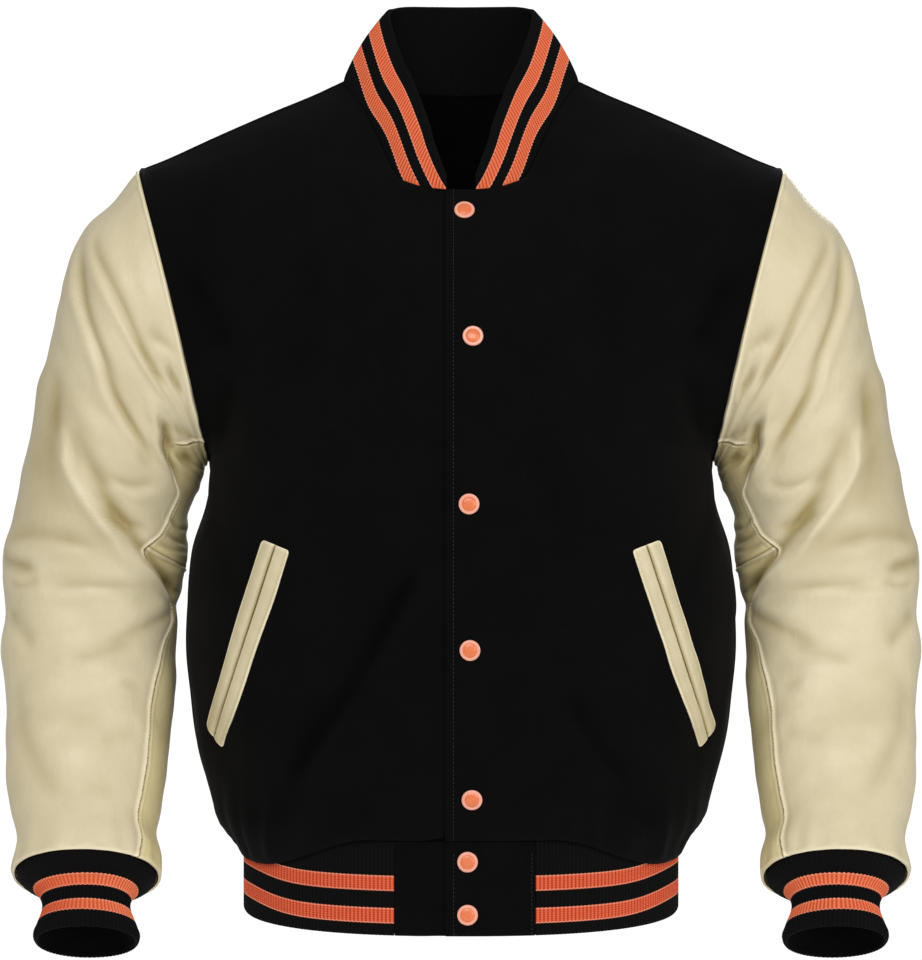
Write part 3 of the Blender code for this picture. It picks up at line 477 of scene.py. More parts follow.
def sleeve_folds(part, along, angle):
    """How far a sleeve's folds and puckers push it out, how high its raised folds stand, and how much
    painted shade it gets in its creases, by the armpit and on the outer arm."""
    calm = ease(along / SLEEVE_CALM[0]) * ease((SLEEVE_LENGTH - along) / SLEEVE_CALM[1])
    troughs, folds = (calm * creases(rows, along, angle % 360, AROUND, 360) for rows in (
        [row for row in SLEEVE_CREASES if row[0] > 0], [row for row in SLEEVE_CREASES if row[0] < 0]))
    push = troughs + folds
    by_armpit = bump(along, *ARMPIT_LENGTH) * bump(angle % 360, *ARMPIT_ANGLE)
    # painted shade: darker in deep creases, by the armpit, a touch on the under sleeve, and on the top
    # sleeve's outer arm
    hollow = np.clip(-push / (SHADE_DEPTH * MM), 0, 1) + 0.3 * by_armpit + (0 if part == "top" else 0.02)
    hollow = np.clip(hollow + 0.25 * painted_outer_shade(along, angle) * (part == "top"), 0, 1)
    push = push + 0.7 * calm * swell(along, angle, 11)
    # the cuff draws the end of the sleeve in, and the armhole seam eases its head in
    drawn = bump(along, SLEEVE_LENGTH, 22) * ease((SLEEVE_LENGTH - along) / 5)
    push = push + drawn * 0.7 * MM * np.sin(17 * np.radians(angle) + 1.5 * np.sin(np.radians(3 * angle)))
    eased = bump(along, 4, 14) * 0.45 * MM
    push = push + eased * np.sin(23 * np.radians(angle) + 2 * np.sin(np.radians(2 * angle)))
    return push, folds, hollow


def sleeve_piece(part, side, upper, lower, first, last, around, leather):
    """One leather piece of a sleeve, between two lengths down it and two seams. It is about as wide
    as around says."""
    share = marks(around, SLEEVE_STEP) / around
    upper, lower = upper(share), lower(share)
    length = float(np.mean(lower - upper))
    down = marks(length, SLEEVE_STEP)[::-1, None] / length
    along = upper + (lower - upper) * down
    start, end = first(along), last(along)
    angle = start + (end - start) * share
    form = sleeve_points(along, angle)
    gap = from_edges(form)
    push, folds, hollow = sleeve_folds(part, along, angle)

    # the top sleeve is folded under and stitched down along both seams, on the under sleeve's flat edge
    shown = front_seam_shown(along)
    to_front, to_back = ("last", "first") if part == "top" else ("first", "last")
    height = TOP_RIDGE if part == "top" else UNDER_RIDGE
    pucker = 0.75 + 0.25 * np.sin(2 * math.pi * along / PUCKER + 2 * np.sin(along / 19))
    push = push + stitched_edge(gap[to_front], height) * pucker * shown
    push = push + stitched_edge(gap[to_back], height) * pucker
    push = push + stitched_edge(gap["top"], UPPER_RIDGE)
    if part == "under_upper":
        push = push + stitched_edge(gap["bottom"], LOWER_RIDGE)
    else:
        push = push - 1.1 * MM * bump(gap["bottom"], 0, 1.5)
    outer = form + normals(form) * push[..., None]
    out = normals(outer)
    if part != "under_lower":
        out = lean(out, gap["top"], armhole_out(form[-1]))
        outer[-1] += unit(outer[-2] - outer[-1]) * 1.2 * SEAM

    # painted shade in the grooves along the seams
    seams = ((gap[to_front], shown), (gap[to_back], 1), (gap["top"], 1))
    hollow = np.clip(hollow + 0.6 * sum(np.exp(-edge / 0.9) * seen for edge, seen in seams), 0, 1)
    # painted highlight, with rubbed wear, on the seams' ridges, the sleeve's end and its raised folds
    rubbed = sum(bump(edge, *PALE_RIDGE_LINE) * seen for edge, seen in seams) * (1 if part == "top" else 0.45)
    if part == "under_lower":
        rubbed = rubbed + 0.5 * bump(gap["top"], *PALE_RIDGE_LINE)
    rubbed = rubbed + 0.7 * bump(gap["bottom"], 0.4, 1.2) * (part != "under_upper")
    rubbed = rubbed + 0.5 * np.clip(folds / (HIGHLIGHT_RISE * MM), 0, 1)
    inner = outer - out * LEATHER
    if side == "right":
        outer, inner = mirrored(outer), mirrored(inner)
        hollow, rubbed = hollow[:, ::-1], rubbed[:, ::-1]
    piece = shell(f"sleeve_{part}_{side}_leather", outer, inner, [leather], hollow=hollow, rubbed=rubbed)
    return piece, outer


def make_sleeve(side, leather, lightened_under_leather):
    """The top sleeve and the two halves of the under sleeve, each with its two ends, its two seams and
    how far it reaches round."""
    front = lambda along: smooth(along, SLEEVE["along"], SLEEVE["front_seam"])
    back = lambda along: smooth(along, SLEEVE["along"], SLEEVE["back_seam"])
    shoulder = lambda share: 0 * share
    mouth = lambda share: SLEEVE_LENGTH + 0 * share
    cuts = {"top": (shoulder, mouth, lambda along: back(along) - 360, front, 380),
            "under_upper": (shoulder, cross_seam, front, back, 92),
            "under_lower": (cross_seam, mouth, front, back, 100)}
    return {part: sleeve_piece(part, side, *cut, leather if part == "top" else lightened_under_leather)
            for part, cut in cuts.items()}


leather = cream_sheepskin("cream sheepskin", "DACEAC")
# the under sleeves get a lighter, yellower copy of the leather: painted light that brightens their shaded
# side and gives it the yellow of shaded leather
lightened_under_leather = cream_sheepskin("cream sheepskin, yellower edge of the hide", "E3D4A0")
sleeves = {side: make_sleeve(side, leather, lightened_under_leather) for side in ("left", "right")}
# Width, length and area of each piece of a sleeve when it lies flat, in metres
FLAT_SLEEVES = {"top": (0.47, 0.625, 0.17), "under_upper": (0.125, 0.135, 0.0113),
                "under_lower": (0.125, 0.27, 0.0236)}
for side, pieces in sleeves.items():
    for part, (piece, _) in pieces.items():
        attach(piece, "root")
        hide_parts(f"sleeve_{part}_{side}")


# ---------------------------------------------------------------- cuffs
# Rib-knit tubes, folded double, that gather the ends of the sleeves. Two orange stripes are knitted
# in. The ribs stand up in rounded rolls about 3 mm apart, each one a column of knitted loops.

RIB_KNIT = 2.4 * MM
RIB_RISE = 0.9 * MM        # how far a rib stands over the groove beside it
RIB_POINTS = 5             # points of the mesh across each rib
RIB_SHAPE = 0.75           # the power of a rib's section: below 1 its top is rounder
LOOP_TALL = 1.7            # one knitted loop, drawn coarser than it is, about 1 mm, so that it shows
LOOP_SLANT = 1.7           # the rise of a loop's arm, over its run from the rib's middle
FUZZ = 0.9 * MM            # the size of the yarn's fuzz
CUFF = table(
    "along half_width half_depth",
    (-6, 54.3, 47.3), (4, 51.6, 44.2), (13, 39.6, 31.2), (44, 39, 30.4), (50, 41, 32),
    (55.5, 40.2, 31.2))
CUFF_DRIFT = -0.05         # how far a cuff runs in towards the body, over its run down the arm
CUFF_RIBS = 74
CUFF_SLACK = 0.5           # how unevenly it lies round the wrist
CUFF_TURN = 1.1            # how far it turns in at its fold,
CUFF_TURN_FROM = 52.6      # from here down it
CUFF_TURN_OVER = 2.9       # and over this length
CUFF_ROWS = (-6, -2, 1, 4, 6, 8, 10, 12, 14, 17, 21, 25, 29, 33, 37, 41, 44, 46.5, 48.5, 50.3, 52,
             53.4, 54.5, 55.2, 55.5)
CUFF_STRIPES = ((15.0, 26.0), (37.6, 47.2))    # from the fold, along the knit


def rib_knit(name, stripes, rib="EB7B50", groove_tone="CE461A"):
    """Acrylic rib knit: matt black with dense orange stripes, each with a tone for its ribs and a deeper
    one for the grooves, where the black between the ribs shows and painted shade falls, and a painted
    highlight on its loops and its stripes' borders. The cut map counts ribs across and millimetres from the
    fold, and the loops lie in small Vs on each rib."""
    finish, tree, shader = new_finish(name, Roughness=0.88, IOR=1.45, Metallic=0.0,
                                      Sheen_Weight=0.015, Sheen_Roughness=0.5,
                                      Specular_IOR_Level=0.1)
    cut = add_node(tree, "ShaderNodeSeparateXYZ", {
        "Vector": add_node(tree, "ShaderNodeUVMap", uv_map="cut").outputs["UV"]})
    across = add_node(tree, "ShaderNodeMath", {0: cut.outputs["X"], 1: 1.0, 2: 0.0}, operation="WRAP")
    middle = add_node(tree, "ShaderNodeMath", {0: across.outputs[0], 1: 0.5}, operation="SUBTRACT")
    aside = add_node(tree, "ShaderNodeMath", {0: middle.outputs[0]}, operation="ABSOLUTE").outputs[0]
    loops = add_node(tree, "ShaderNodeMath", {0: aside, 1: LOOP_SLANT, 2: cut.outputs["Y"]},
                     operation="MULTIPLY_ADD")
    wave = add_node(tree, "ShaderNodeMath", {0: loops.outputs[0], 1: 2 * math.pi / LOOP_TALL},
                    operation="MULTIPLY")
    wave = add_node(tree, "ShaderNodeMath", {0: wave.outputs[0]}, operation="SINE").outputs[0]
    fuzz = add_node(tree, "ShaderNodeTexNoise", {
        "Vector": add_node(tree, "ShaderNodeTexCoord").outputs["Object"], "Scale": 1 / FUZZ,
        "Detail": 2.0}).outputs["Fac"]
    jagged = add_node(tree, "ShaderNodeMath", {0: aside, 1: 0.9, 2: cut.outputs["Y"]},
                      operation="MULTIPLY_ADD").outputs[0]
    # each stripe's edge is jagged by the loops, and its border catches more light than its middle
    inside = rim = 0.0
    for start, end in stripes:
        middle_at, reach = (start + end) / 2, (end - start) / 2
        off = add_node(tree, "ShaderNodeMath", {0: jagged, 1: middle_at}, operation="SUBTRACT")
        off = add_node(tree, "ShaderNodeMath", {0: off.outputs[0]}, operation="ABSOLUTE").outputs[0]
        band = add_node(tree, "ShaderNodeMapRange", {
            "Value": off, "From Min": reach + 0.15, "From Max": reach - 0.15}).outputs["Result"]
        border = add_node(tree, "ShaderNodeMapRange", {
            "Value": off, "From Min": reach - 1.3, "From Max": reach - 0.5}).outputs["Result"]
        inside = add_node(tree, "ShaderNodeMath", {0: inside, 1: band}, operation="MAXIMUM").outputs[0]
        border = add_node(tree, "ShaderNodeMath", {0: border, 1: band}, operation="MULTIPLY").outputs[0]
        rim = add_node(tree, "ShaderNodeMath", {0: rim, 1: border}, operation="MAXIMUM").outputs[0]
    # the grooves are deeper orange: the black between the ribs shows through, with painted shade
    groove = add_node(tree, "ShaderNodeMapRange", {
        "Value": aside, "From Min": 0.12, "From Max": 0.42})
    orange = add_node(tree, "ShaderNodeMix", {
        "Factor": groove.outputs["Result"], "A": linear(rib), "B": linear(groove_tone)},
        data_type="RGBA")
    # painted highlight on the top of each loop and on each stripe's border
    lit = add_node(tree, "ShaderNodeMapRange", {
        "Value": wave, "From Min": 0.0, "From Max": 1.0, "To Min": 0.0, "To Max": 0.25})
    lit = add_node(tree, "ShaderNodeMath", {0: rim, 1: 0.45, 2: lit.outputs["Result"]},
                   operation="MULTIPLY_ADD", use_clamp=True)
    orange = add_node(tree, "ShaderNodeMix", {
        "Factor": lit.outputs[0], "A": orange.outputs["Result"], "B": linear("FFB093")},
        data_type="RGBA")
    black = add_node(tree, "ShaderNodeMix", {
        "Factor": fuzz, "A": linear("050505"), "B": linear("0C0C0C")}, data_type="RGBA")
    if stripes:
        black = add_node(tree, "ShaderNodeMix", {
            "Factor": inside, "A": black.outputs["Result"], "B": orange.outputs["Result"]},
            data_type="RGBA")
    tree.links.new(black.outputs["Result"], shader.inputs["Base Color"])
    loop_bump = add_node(tree, "ShaderNodeBump", {
        "Height": wave, "Strength": 0.45, "Distance": 0.3 * MM})
    fuzzy = add_node(tree, "ShaderNodeBump", {
        "Height": fuzz, "Strength": 0.25, "Distance": 0.2 * MM, "Normal": loop_bump.outputs["Normal"]})
    tree.links.new(fuzzy.outputs["Normal"], shader.inputs["Normal"])
    return finish


def rib_rise(count, closed):
    """Where the points of a ribbed piece lie across its ribs, and how far each stands out."""
    at = np.arange(count * RIB_POINTS + (0 if closed else 1)) / RIB_POINTS
    return at, RIB_RISE * (np.abs(np.sin(math.pi * at)) ** RIB_SHAPE - 1)


def cut_map(ribs, from_fold):
    """Where each point lies on the flat knit: ribs across, and millimetres from the fold."""
    return np.stack(np.broadcast_arrays(ribs[None, :], from_fold), axis=-1)


def make_cuff(side, finishes):
    """A ribbed tube that gathers the end of the sleeve and runs on down the wrist to its fold."""
    end = {name: values[-1] for name, values in SLEEVE.items()}
    tilt = math.radians(end["tilt"])
    middle = np.array([(end["outer_x"] + end["inner_x"]) / 2, -end["forward"], end["outer_z"]])
    axis = np.array([CUFF_DRIFT, -math.sin(tilt), -math.cos(tilt)])
    front = np.array([0, -math.cos(tilt), math.sin(tilt)])
    ribs, rise = rib_rise(CUFF_RIBS, closed=True)
    angle = (ribs / CUFF_RIBS * 2 * math.pi)[:, None]
    across = power(np.cos(angle), 2 / SLEEVE_ROUND) * (1, 0, 0)
    forward = power(np.sin(angle), 2 / SLEEVE_ROUND) * front
    along = np.array(CUFF_ROWS, dtype=float)[::-1]
    width, depth = (smooth(along, CUFF["along"], CUFF[name])[:, None, None]
                    for name in ("half_width", "half_depth"))
    place = middle + along[:, None, None] * axis
    wrist = (along > 6) & (along < 52)
    slack = CUFF_SLACK * np.sin(3 * angle[:, 0] + 0.11 * along[:, None]) * wrist[:, None]
    turned = CUFF_TURN * (np.clip((along - CUFF_TURN_FROM) / CUFF_TURN_OVER, 0, 1) ** 2)[:, None, None]

    def tube(shrink):
        return (place + (width - shrink) * across + (depth - shrink) * forward) * MM

    outer = tube(turned - slack[..., None] - rise[None, :, None] / MM)
    inner = tube((RIB_RISE + RIB_KNIT) / MM - 0.9 * turned)
    counted = np.arange(len(ribs) + 1) / RIB_POINTS
    front_line = tube(0)[:, len(ribs) // 4]
    steps = np.linalg.norm(np.diff(front_line, axis=0), axis=1) / MM
    from_fold = np.concatenate([[0], np.cumsum(steps)])
    cut = cut_map(counted, from_fold[:, None])
    if side == "right":
        outer, inner, cut = mirrored(outer), mirrored(inner), cut[:, ::-1]
    return shell(f"cuff_{side}_knit", outer, inner, finishes, closed=True, cut=cut)


striped_cuff = rib_knit("black rib knit, cuff stripes", CUFF_STRIPES)
plain_rib = rib_knit("black rib knit", ())
for side in ("left", "right"):
    cuff = make_cuff(side, [striped_cuff, plain_rib])
    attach(cuff, "root")
    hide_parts(f"cuff_{side}")
    for part, (piece, _) in sleeves[side].items():
        width, length, area = FLAT_SLEEVES[part]


# ---------------------------------------------------------------- wool body
# Two fronts and a one-piece back of black melton, a heavy wool that is fulled until no weave shows.
# The left front laps over the right one. The cloth blouses over the waistband at the sides.

WOOL = 2.0 * MM
WOOL_SHADE_DEPTH = 4.2      # painted shade darkens the wool most in a fold as deep as this
NAP = 1.6 * MM             # size of the felted nap
NAP_CLOUD = 30 * MM        # and of its clouds of tone
BODY_STEP = 4.0            # between rows and columns of a panel's mesh
BODY_ROUND = 2.4           # the power of the body's section below the arms, and of the waistband's
CHEST_ROUND = 2.3          # and beside the arms
ARMPIT_ROW = 0.55          # share of the way up a panel at which the armpit lies
ROLL_ROW = 0.72            # and from which the panel rolls in to the shoulder and the neck
ROLL_ROUND = 1.5           # how round that roll is
EVEN_OUT = 6               # rounds that even out the form beside the arms
TOP_REACH = 24             # how far from its top a panel is drawn to its seams' true curves,
SIDE_REACH = 16            # and how far from its side
OVERLAP = 12 * MM          # how far the left front reaches past the centre
UNDERLAP = 24 * MM         # and the right front, which lies under it
UNDER_DROP = 2.8 * MM      # how much further in the right front lies there
UNDER_FROM = 32 * MM       # it begins to sink in at this distance from the centre
UNDER_EASE = 16 * MM       # and does so over this width
BAND_TOP = -585.5 * MM     # the seam of the waistband
BAND_DIP = 9.5 * MM        # and how much lower it runs at the front
HEM_LAP = 27 * MM          # how far the cloth blouses down over it at the sides
HEM_STAND = 3.4            # and how far it stands out in front of it beside the tabs
LOW_ROWS = np.linspace(0, 1, 11) ** 1.45       # from the hem up to the armpit, as shares of the way
ARMHOLE_COLUMNS = (9, 9, 2, 3)   # from the back seam, by the outer edge, the front seam and armpit

# The outlines of the body at its sides and, along its middle, in front and behind
SIDE_LINE = table(
    "up out",
    (-611.9, 177), (-606, 179), (-600, 182.5), (-589, 191), (-569, 199), (-549, 205),
    (-521, 212), (-485, 216.5), (-455, 219.5), (-410, 218), (-372, 214.5), (-337, 203.5),
    (-316, 200), (-300, 201.4))
FRONT_LINE = table(
    "up out",
    (-594.2, 135.4), (-588, 140.6), (-575, 148), (-550, 154), (-520, 158), (-450, 160), (-350, 158),
    (-270, 154), (-200, 143), (-140, 115), (-110, 94), (-91, 82))
BACK_LINE = table(
    "up out",
    (-604, 124), (-598, 129), (-585, 133), (-560, 135), (-510, 131), (-430, 124), (-350, 122),
    (-250, 129), (-150, 124), (-80, 104), (-30, 72), (-4, 48))
# The neck seam and the collar's upper edge, from the centre back round to the front
NECK = table(
    "seam_x seam_y seam_z edge_x edge_y edge_z",
    (0, 48, -4, 0, 40, 66), (35, 45, -3, 26, 38, 66), (62, 36, -1, 45, 28, 65),
    (82, 22, 1, 55, 14, 62), (94.5, 2, 2, 58, -1, 58), (87, -14, -9, 55, -15, 42),
    (76, -32, -26, 47, -30, 18), (63, -50, -53.7, 37, -45, -4), (51.3, -66, -78, 26, -58, -33),
    (38, -75, -86, 21.5, -67, -50), (24, -80, -89.5, 16, -75, -66), (12, -82, -91, 11, -79.5, -79))
HIGH_POINT = 4             # the row of that table where the neck meets the shoulder
SHOULDER = table(
    "out back up",
    (94.5, 2, 2), (113.6, 2, -7.2), (148, 1, -21.6), (198, 0, -43.6), (240, 0, -62.8),
    (257, 0, -69.8))
SHOULDER_COLUMNS = (115, 138, 162, 185, 207, 226, 241, 251, 257)

# Folds, as on the sleeves, but each course is by the distance out from the centre and the height
FRONT_FOLDS = (
    (4.0, 13, 0.5, (216, -146), (196, -186), (176, -224)),
    (4.0, 12, 0.5, (177, -228), (184, -262), (194, -300)),
    (3.5, 15, -0.5, (200, -318), (186, -368), (168, -420)),
    (1.6, 16, 0.5, (118, -120), (112, -190), (120, -250)),
    (1.4, 18, 0.5, (150, -440), (160, -490), (158, -540)),
    (1.8, 12, 0.6, (196, -470), (188, -520), (170, -560)))
LEFT_FOLDS = (
    (3.6, 9, 0.6, (76, -470), (92, -500), (110, -526), (140, -562)),
    (3.0, 13, 0.6, (92, -545), (126, -568), (160, -585)),
    (1.6, 14, 0.5, (40, -250), (70, -330), (88, -400)))
RIGHT_FOLDS = (
    (6.0, 9, 0.6, (27, -373), (46, -408), (80, -470), (106, -510), (139, -560)),
    (2.2, 12, 0.4, (96, -470), (120, -520), (128, -566)),
    (3.0, 13, 0.6, (110, -556), (146, -572), (176, -580)),
    (1.5, 12, 0.6, (60, -560), (80, -574), (104, -584)))
BACK_FOLDS = (
    (5.0, 18, 0.5, (222, -150), (190, -214), (168, -290)),
    (3.5, 18, 0.5, (40, -400), (96, -480), (150, -545)),
    (3.0, 18, 0.5, (-70, -380), (-104, -456), (-150, -520)),
    (5.0, 18, 0.5, (-222, -150), (-192, -216), (-168, -280)),
    (3.0, 14, 0.6, (60, -560), (104, -576), (150, -585)),
    (3.0, 14, 0.6, (-50, -565), (-96, -578), (-140, -580)),
    (2.0, 20, 0.5, (-120, -90), (-60, -120), (10, -112), (110, -92)),
    (1.8, 16, 0.5, (150, -330), (120, -400), (104, -450)),
    (1.8, 16, 0.5, (-160, -350), (-120, -390), (-60, -410)))


def armhole_angles(facing):
    """Angles of the points of half of the armhole, from the armpit up."""
    front, back = SLEEVE["front_seam"][0], SLEEVE["back_seam"][0]
    spans = zip((back - 360, 0, front, 180), (0, front, 180, back), ARMHOLE_COLUMNS)
    columns = np.concatenate([a + (b - a) * np.arange(n) / n for a, b, n in spans])
    angles = (-facing * columns) % 360
    return np.sort(angles[angles <= 180])[::-1]


def row_shares(facing):
    """Shares of the way up a panel of its rows."""
    above = 1 - (1 - ARMPIT_ROW) * (armhole_angles(facing)[1:] / 180) ** 1.5
    return np.concatenate([ARMPIT_ROW * LOW_ROWS, above])


def side_edge(facing):
    """The side seam and then half of the armhole, for the rows of a panel."""
    low_up = SIDE_LINE["up"][0] + (SIDE_LINE["up"][-1] - SIDE_LINE["up"][0]) * LOW_ROWS
    out = smooth(low_up, SIDE_LINE["up"], SIDE_LINE["out"])
    low = np.stack([out, 0 * out, low_up], axis=-1) * MM
    return np.concatenate([low, armhole(armhole_angles(facing)[1:]) * (1, -facing, 1)])


def shoulder_seam(out):
    """Depth and height of the shoulder seam, by the distance from the centre."""
    return [smooth(np.abs(out) / MM, SHOULDER["out"], SHOULDER[name]) * MM for name in ("back", "up")]


def neck_line(line, at):
    """Points of the neck seam, or of the collar's upper edge, by places in the table. Negative places
    are on the wearer's right."""
    half = np.stack([NECK[f"{line}_{axis}"] for axis in "xyz"], axis=-1) * MM
    full = np.concatenate([(half * (-1, 1, 1))[:0:-1], half])
    return smooth(np.asarray(at) + len(half) - 1, np.arange(len(full)), full)


def body_form(columns, facing):
    """The sparse grid of half of the body, on the wearer's left, that its cloth is drawn over. The
    columns are distances from the centre, and facing is -1 for the front and 1 for the back."""
    line = FRONT_LINE if facing < 0 else BACK_LINE
    columns = np.array(columns) * MM
    side_x, side_y, side_z = (side_edge(facing)[:, None, i] for i in range(3))
    share = row_shares(facing)[:, None]
    inner_x, shoulder_x = columns[0], columns[-1]
    x = inner_x + (side_x - inner_x) * (columns - inner_x) / (shoulder_x - inner_x)
    out_share, top_share = np.abs(x) / side_x, np.abs(columns) / shoulder_x
    middle_z = (line["up"][0] + (line["up"][-1] - line["up"][0]) * share) * MM
    middle_y = facing * smooth(middle_z / MM, line["up"], line["out"]) * MM
    at_neck = np.abs(columns) <= SHOULDER["out"][0] * MM
    half = np.s_[:HIGH_POINT + 1] if facing > 0 else np.s_[:HIGH_POINT - 1:-1]
    neck_y, neck_z = (np.interp(np.abs(columns) / MM, NECK["seam_x"][half], NECK["seam_" + axis][half])
                      for axis in "yz")
    shoulder_y, shoulder_z = shoulder_seam(columns)
    top_y = np.where(at_neck, neck_y * MM, shoulder_y)
    top_z = np.where(at_neck, neck_z * MM, shoulder_z)
    round_level = np.maximum(1 - out_share ** BODY_ROUND, 0) ** (1 / BODY_ROUND)
    by_arm = ease((share - ARMPIT_ROW + 0.04) / 0.2)
    level = round_level * (1 - by_arm) + (1 - out_share ** CHEST_ROUND) * by_arm
    top_level = 1 - top_share ** CHEST_ROUND
    climb = np.clip((share - ROLL_ROW) / (1 - ROLL_ROW), 0, 1)
    roll = 1 - (1 - climb ** ROLL_ROUND) ** (1 / ROLL_ROUND)
    y = level * middle_y + (1 - level) * side_y
    y = y + roll * (top_y - top_level * middle_y[-1] - (1 - top_level) * side_y[-1])
    z = (1 - out_share) * middle_z + out_share * side_z
    z = z + share ** 3 * (top_z - (1 - top_share) * middle_z[-1] - top_share * side_z[-1])
    if facing < 0:
        low = (1 - share / ARMPIT_ROW).clip(0)
        hang = BAND_TOP - BAND_DIP * round_level[0] + SEAM
        hang = hang - HEM_LAP * ease((out_share[0] - 0.4) / 0.52)
        z = z + low ** 4 * (hang - z[0])
        y = y - low ** 8 * HEM_STAND * MM * round_level[0] * ease((out_share[0] - 0.32) / 0.07)
    grid = np.stack([x, y, z], axis=-1)
    slack = 0.5 * by_arm * ease((columns - 26 * MM) / (40 * MM))
    for _ in range(EVEN_OUT):
        beside = grid[:-2, 1:-1] + grid[2:, 1:-1] + grid[1:-1, :-2] + grid[1:-1, 2:]
        grid[1:-1, 1:-1] += slack[1:-1, 1:-1, None] * (beside / 4 - grid[1:-1, 1:-1])
    return grid


def fine_places(form, axis, corner):
    """Places along a sparse grid, close together at its edges, with one at its corner."""
    line = np.take(form, form.shape[1 - axis] // 2, 1 - axis)
    run = np.concatenate([[0], np.cumsum(np.linalg.norm(np.diff(line, axis=0), axis=1))]) / MM
    count = np.arange(len(run))
    lower = marks(run[corner], BODY_STEP)
    upper = run[corner] + marks(run[-1] - run[corner], BODY_STEP)
    ends = np.concatenate([lower[lower < run[corner] - 10], [run[corner]],
                           upper[upper > run[corner] + 6]])
    return np.interp(ends, run, count)


def body_cloth(columns, facing, corner):
    """Outer points of half of the body, before its folds, on its seams' true curves. The corner is
    the column where the neck meets the shoulder."""
    form = body_form(columns, facing)
    armpit = len(LOW_ROWS) - 1
    rows, cols = fine_places(form, 0, armpit), fine_places(form, 1, corner)
    grid = smooth(rows, np.arange(form.shape[0]), form)
    grid = smooth(cols, np.arange(form.shape[1]), grid.transpose(1, 0, 2)).transpose(1, 0, 2)

    low_up = SIDE_LINE["up"][0] * MM + (SIDE_LINE["up"][-1] - SIDE_LINE["up"][0]) * MM * smooth(
        rows, np.arange(armpit + 1), LOW_ROWS)
    below = rows <= armpit
    low = np.stack([smooth(low_up / MM, SIDE_LINE["up"], SIDE_LINE["out"]) * MM, 0 * low_up, low_up], -1)
    angles = np.concatenate([np.full(armpit + 1, 180.0), armhole_angles(facing)[1:]])
    high = armhole(np.interp(rows, np.arange(len(angles)), angles)) * (1, -facing, 1)
    true_side = np.where(below[:, None], low, high)
    true_top = grid[-1].copy()
    neck = cols <= corner
    start = 1 if facing < 0 else 0
    place = (HIGH_POINT + corner - cols) if facing < 0 else cols
    true_top[neck] = neck_line("seam", np.clip(place[neck], 0, len(NECK["seam_x"]) - 1))
    lapped = cols < start
    true_top[lapped, 0] = grid[-1, lapped, 0]
    true_top[~neck, 1:] = np.stack(shoulder_seam(grid[-1, ~neck, 0]), axis=-1)

    gap = from_edges(grid)
    grid = grid + (true_top - grid[-1]) * np.exp(-(gap["top"] / TOP_REACH) ** 2)[..., None]
    return grid + (true_side - grid[:, -1])[:, None] * np.exp(-(gap["last"] / SIDE_REACH) ** 2)[..., None]


def neck_inward(points):
    """From the neck seam in to the hollow below it: the mitre of the collar and the panels. It points
    at a place 10 mm in front of the neck's middle, and lower where the seam is further out."""
    drop = 30 * MM + 0.6 * np.abs(points[..., :1])
    return unit(np.concatenate([-points[..., :1], -10 * MM - points[..., 1:2], -drop], axis=-1))


def under_drop(across):
    """How far in the right front and the right tab lie where the left ones cover them."""
    return UNDER_DROP * ease((UNDER_FROM - across) / UNDER_EASE)


def hem_pleats(gap, calm):
    """Small pleats where the waistband gathers the hem: none near the front edges or the centre back,
    and taller towards the sides."""
    run = gap["first"] + 0.12 * gap["bottom"]
    tall = 20 + 20 * ease((run - 110) / 90)
    gathers = bump(gap["bottom"], 14, tall) * ease(gap["bottom"] / 5) * ease((run - 55) / 50)
    pleats = 1.4 * np.sin(run / 4.6 + 1.7 * np.sin(run / 17)) + 0.5 * np.sin(run / 2.1 + np.sin(run / 9))
    return calm * gathers * pleats * MM


def body_half(columns, facing, corner, folds, seed, side=1):
    """Half of the body, made on the wearer's left: its points, how far each is from the edges, how far
    its folds push it out and how much painted shade it gets in its folds and along its seams. Columns run
    from the centre to the side."""
    grid = body_cloth(columns, facing, corner)
    gap = from_edges(grid)
    x, z = side * grid[..., 0] / MM, grid[..., 2] / MM
    calm = ease(gap["top"] / 30) * ease(gap["last"] / 14) * ease(gap["bottom"] / 12)
    calm = calm * (ease((grid[..., 0] / MM - 12) / 28) if facing < 0 else 1)
    push = calm * creases(folds, x, z)
    # painted shade in the folds
    hollow = np.clip(-push / (WOOL_SHADE_DEPTH * MM), 0, 1)
    push = push + 0.55 * calm * swell(z, grid[..., 0] / MM * 0.8, seed)
    push = push + hem_pleats(gap, calm)
    push = push + stitched_edge(gap["last"], 0.55) - 1.3 * MM * bump(gap["bottom"], 0, 2.2)
    # the top edge is stitched along the shoulder, and dips under the collar along the neck
    shoulder = ease((grid[-1, :, 0] / MM - 92) / 5)
    push = push + stitched_edge(gap["top"], 0.45) * shoulder - (1 - shoulder) * 0.7 * MM * bump(
        gap["top"], 0, 1.4)
    if facing < 0:
        push = push - 1.0 * MM * bump(gap["first"], 0, 1.3) + 0.3 * MM * bump(gap["first"], 3, 2)
    # and painted shade along the side and shoulder seams
    seams = np.exp(-gap["last"] / 1.5) + shoulder * np.exp(-gap["top"] / 1.5)
    return grid, gap, push, np.clip(hollow + 0.6 * seams, 0, 1)


def body_shell(grid, gap, push, facing):
    """Draw the cloth over its form, and give its wall the directions that it shares at its seams."""
    order = np.s_[:, ::facing]
    out = normals(grid[order])[order]
    grid = grid + out * push[..., None]
    out = normals(grid[order])[order]
    high = (grid[:, -1, 2] > SIDE_LINE["up"][-1] * MM - 1e-6)[:, None]
    side = np.where(high, armhole_out(grid[:, -1]), unit(out[:, -1] * (1, 0, 1)))
    out = lean(out, gap["last"], side[:, None])
    neck = (np.abs(grid[-1, :, 0]) <= (SHOULDER["out"][0] + 0.1) * MM)[:, None]
    top = np.where(neck, -neck_inward(grid[-1]), unit(out[-1] * (1, 0, 1)))
    return grid, lean(out, gap["top"], top)


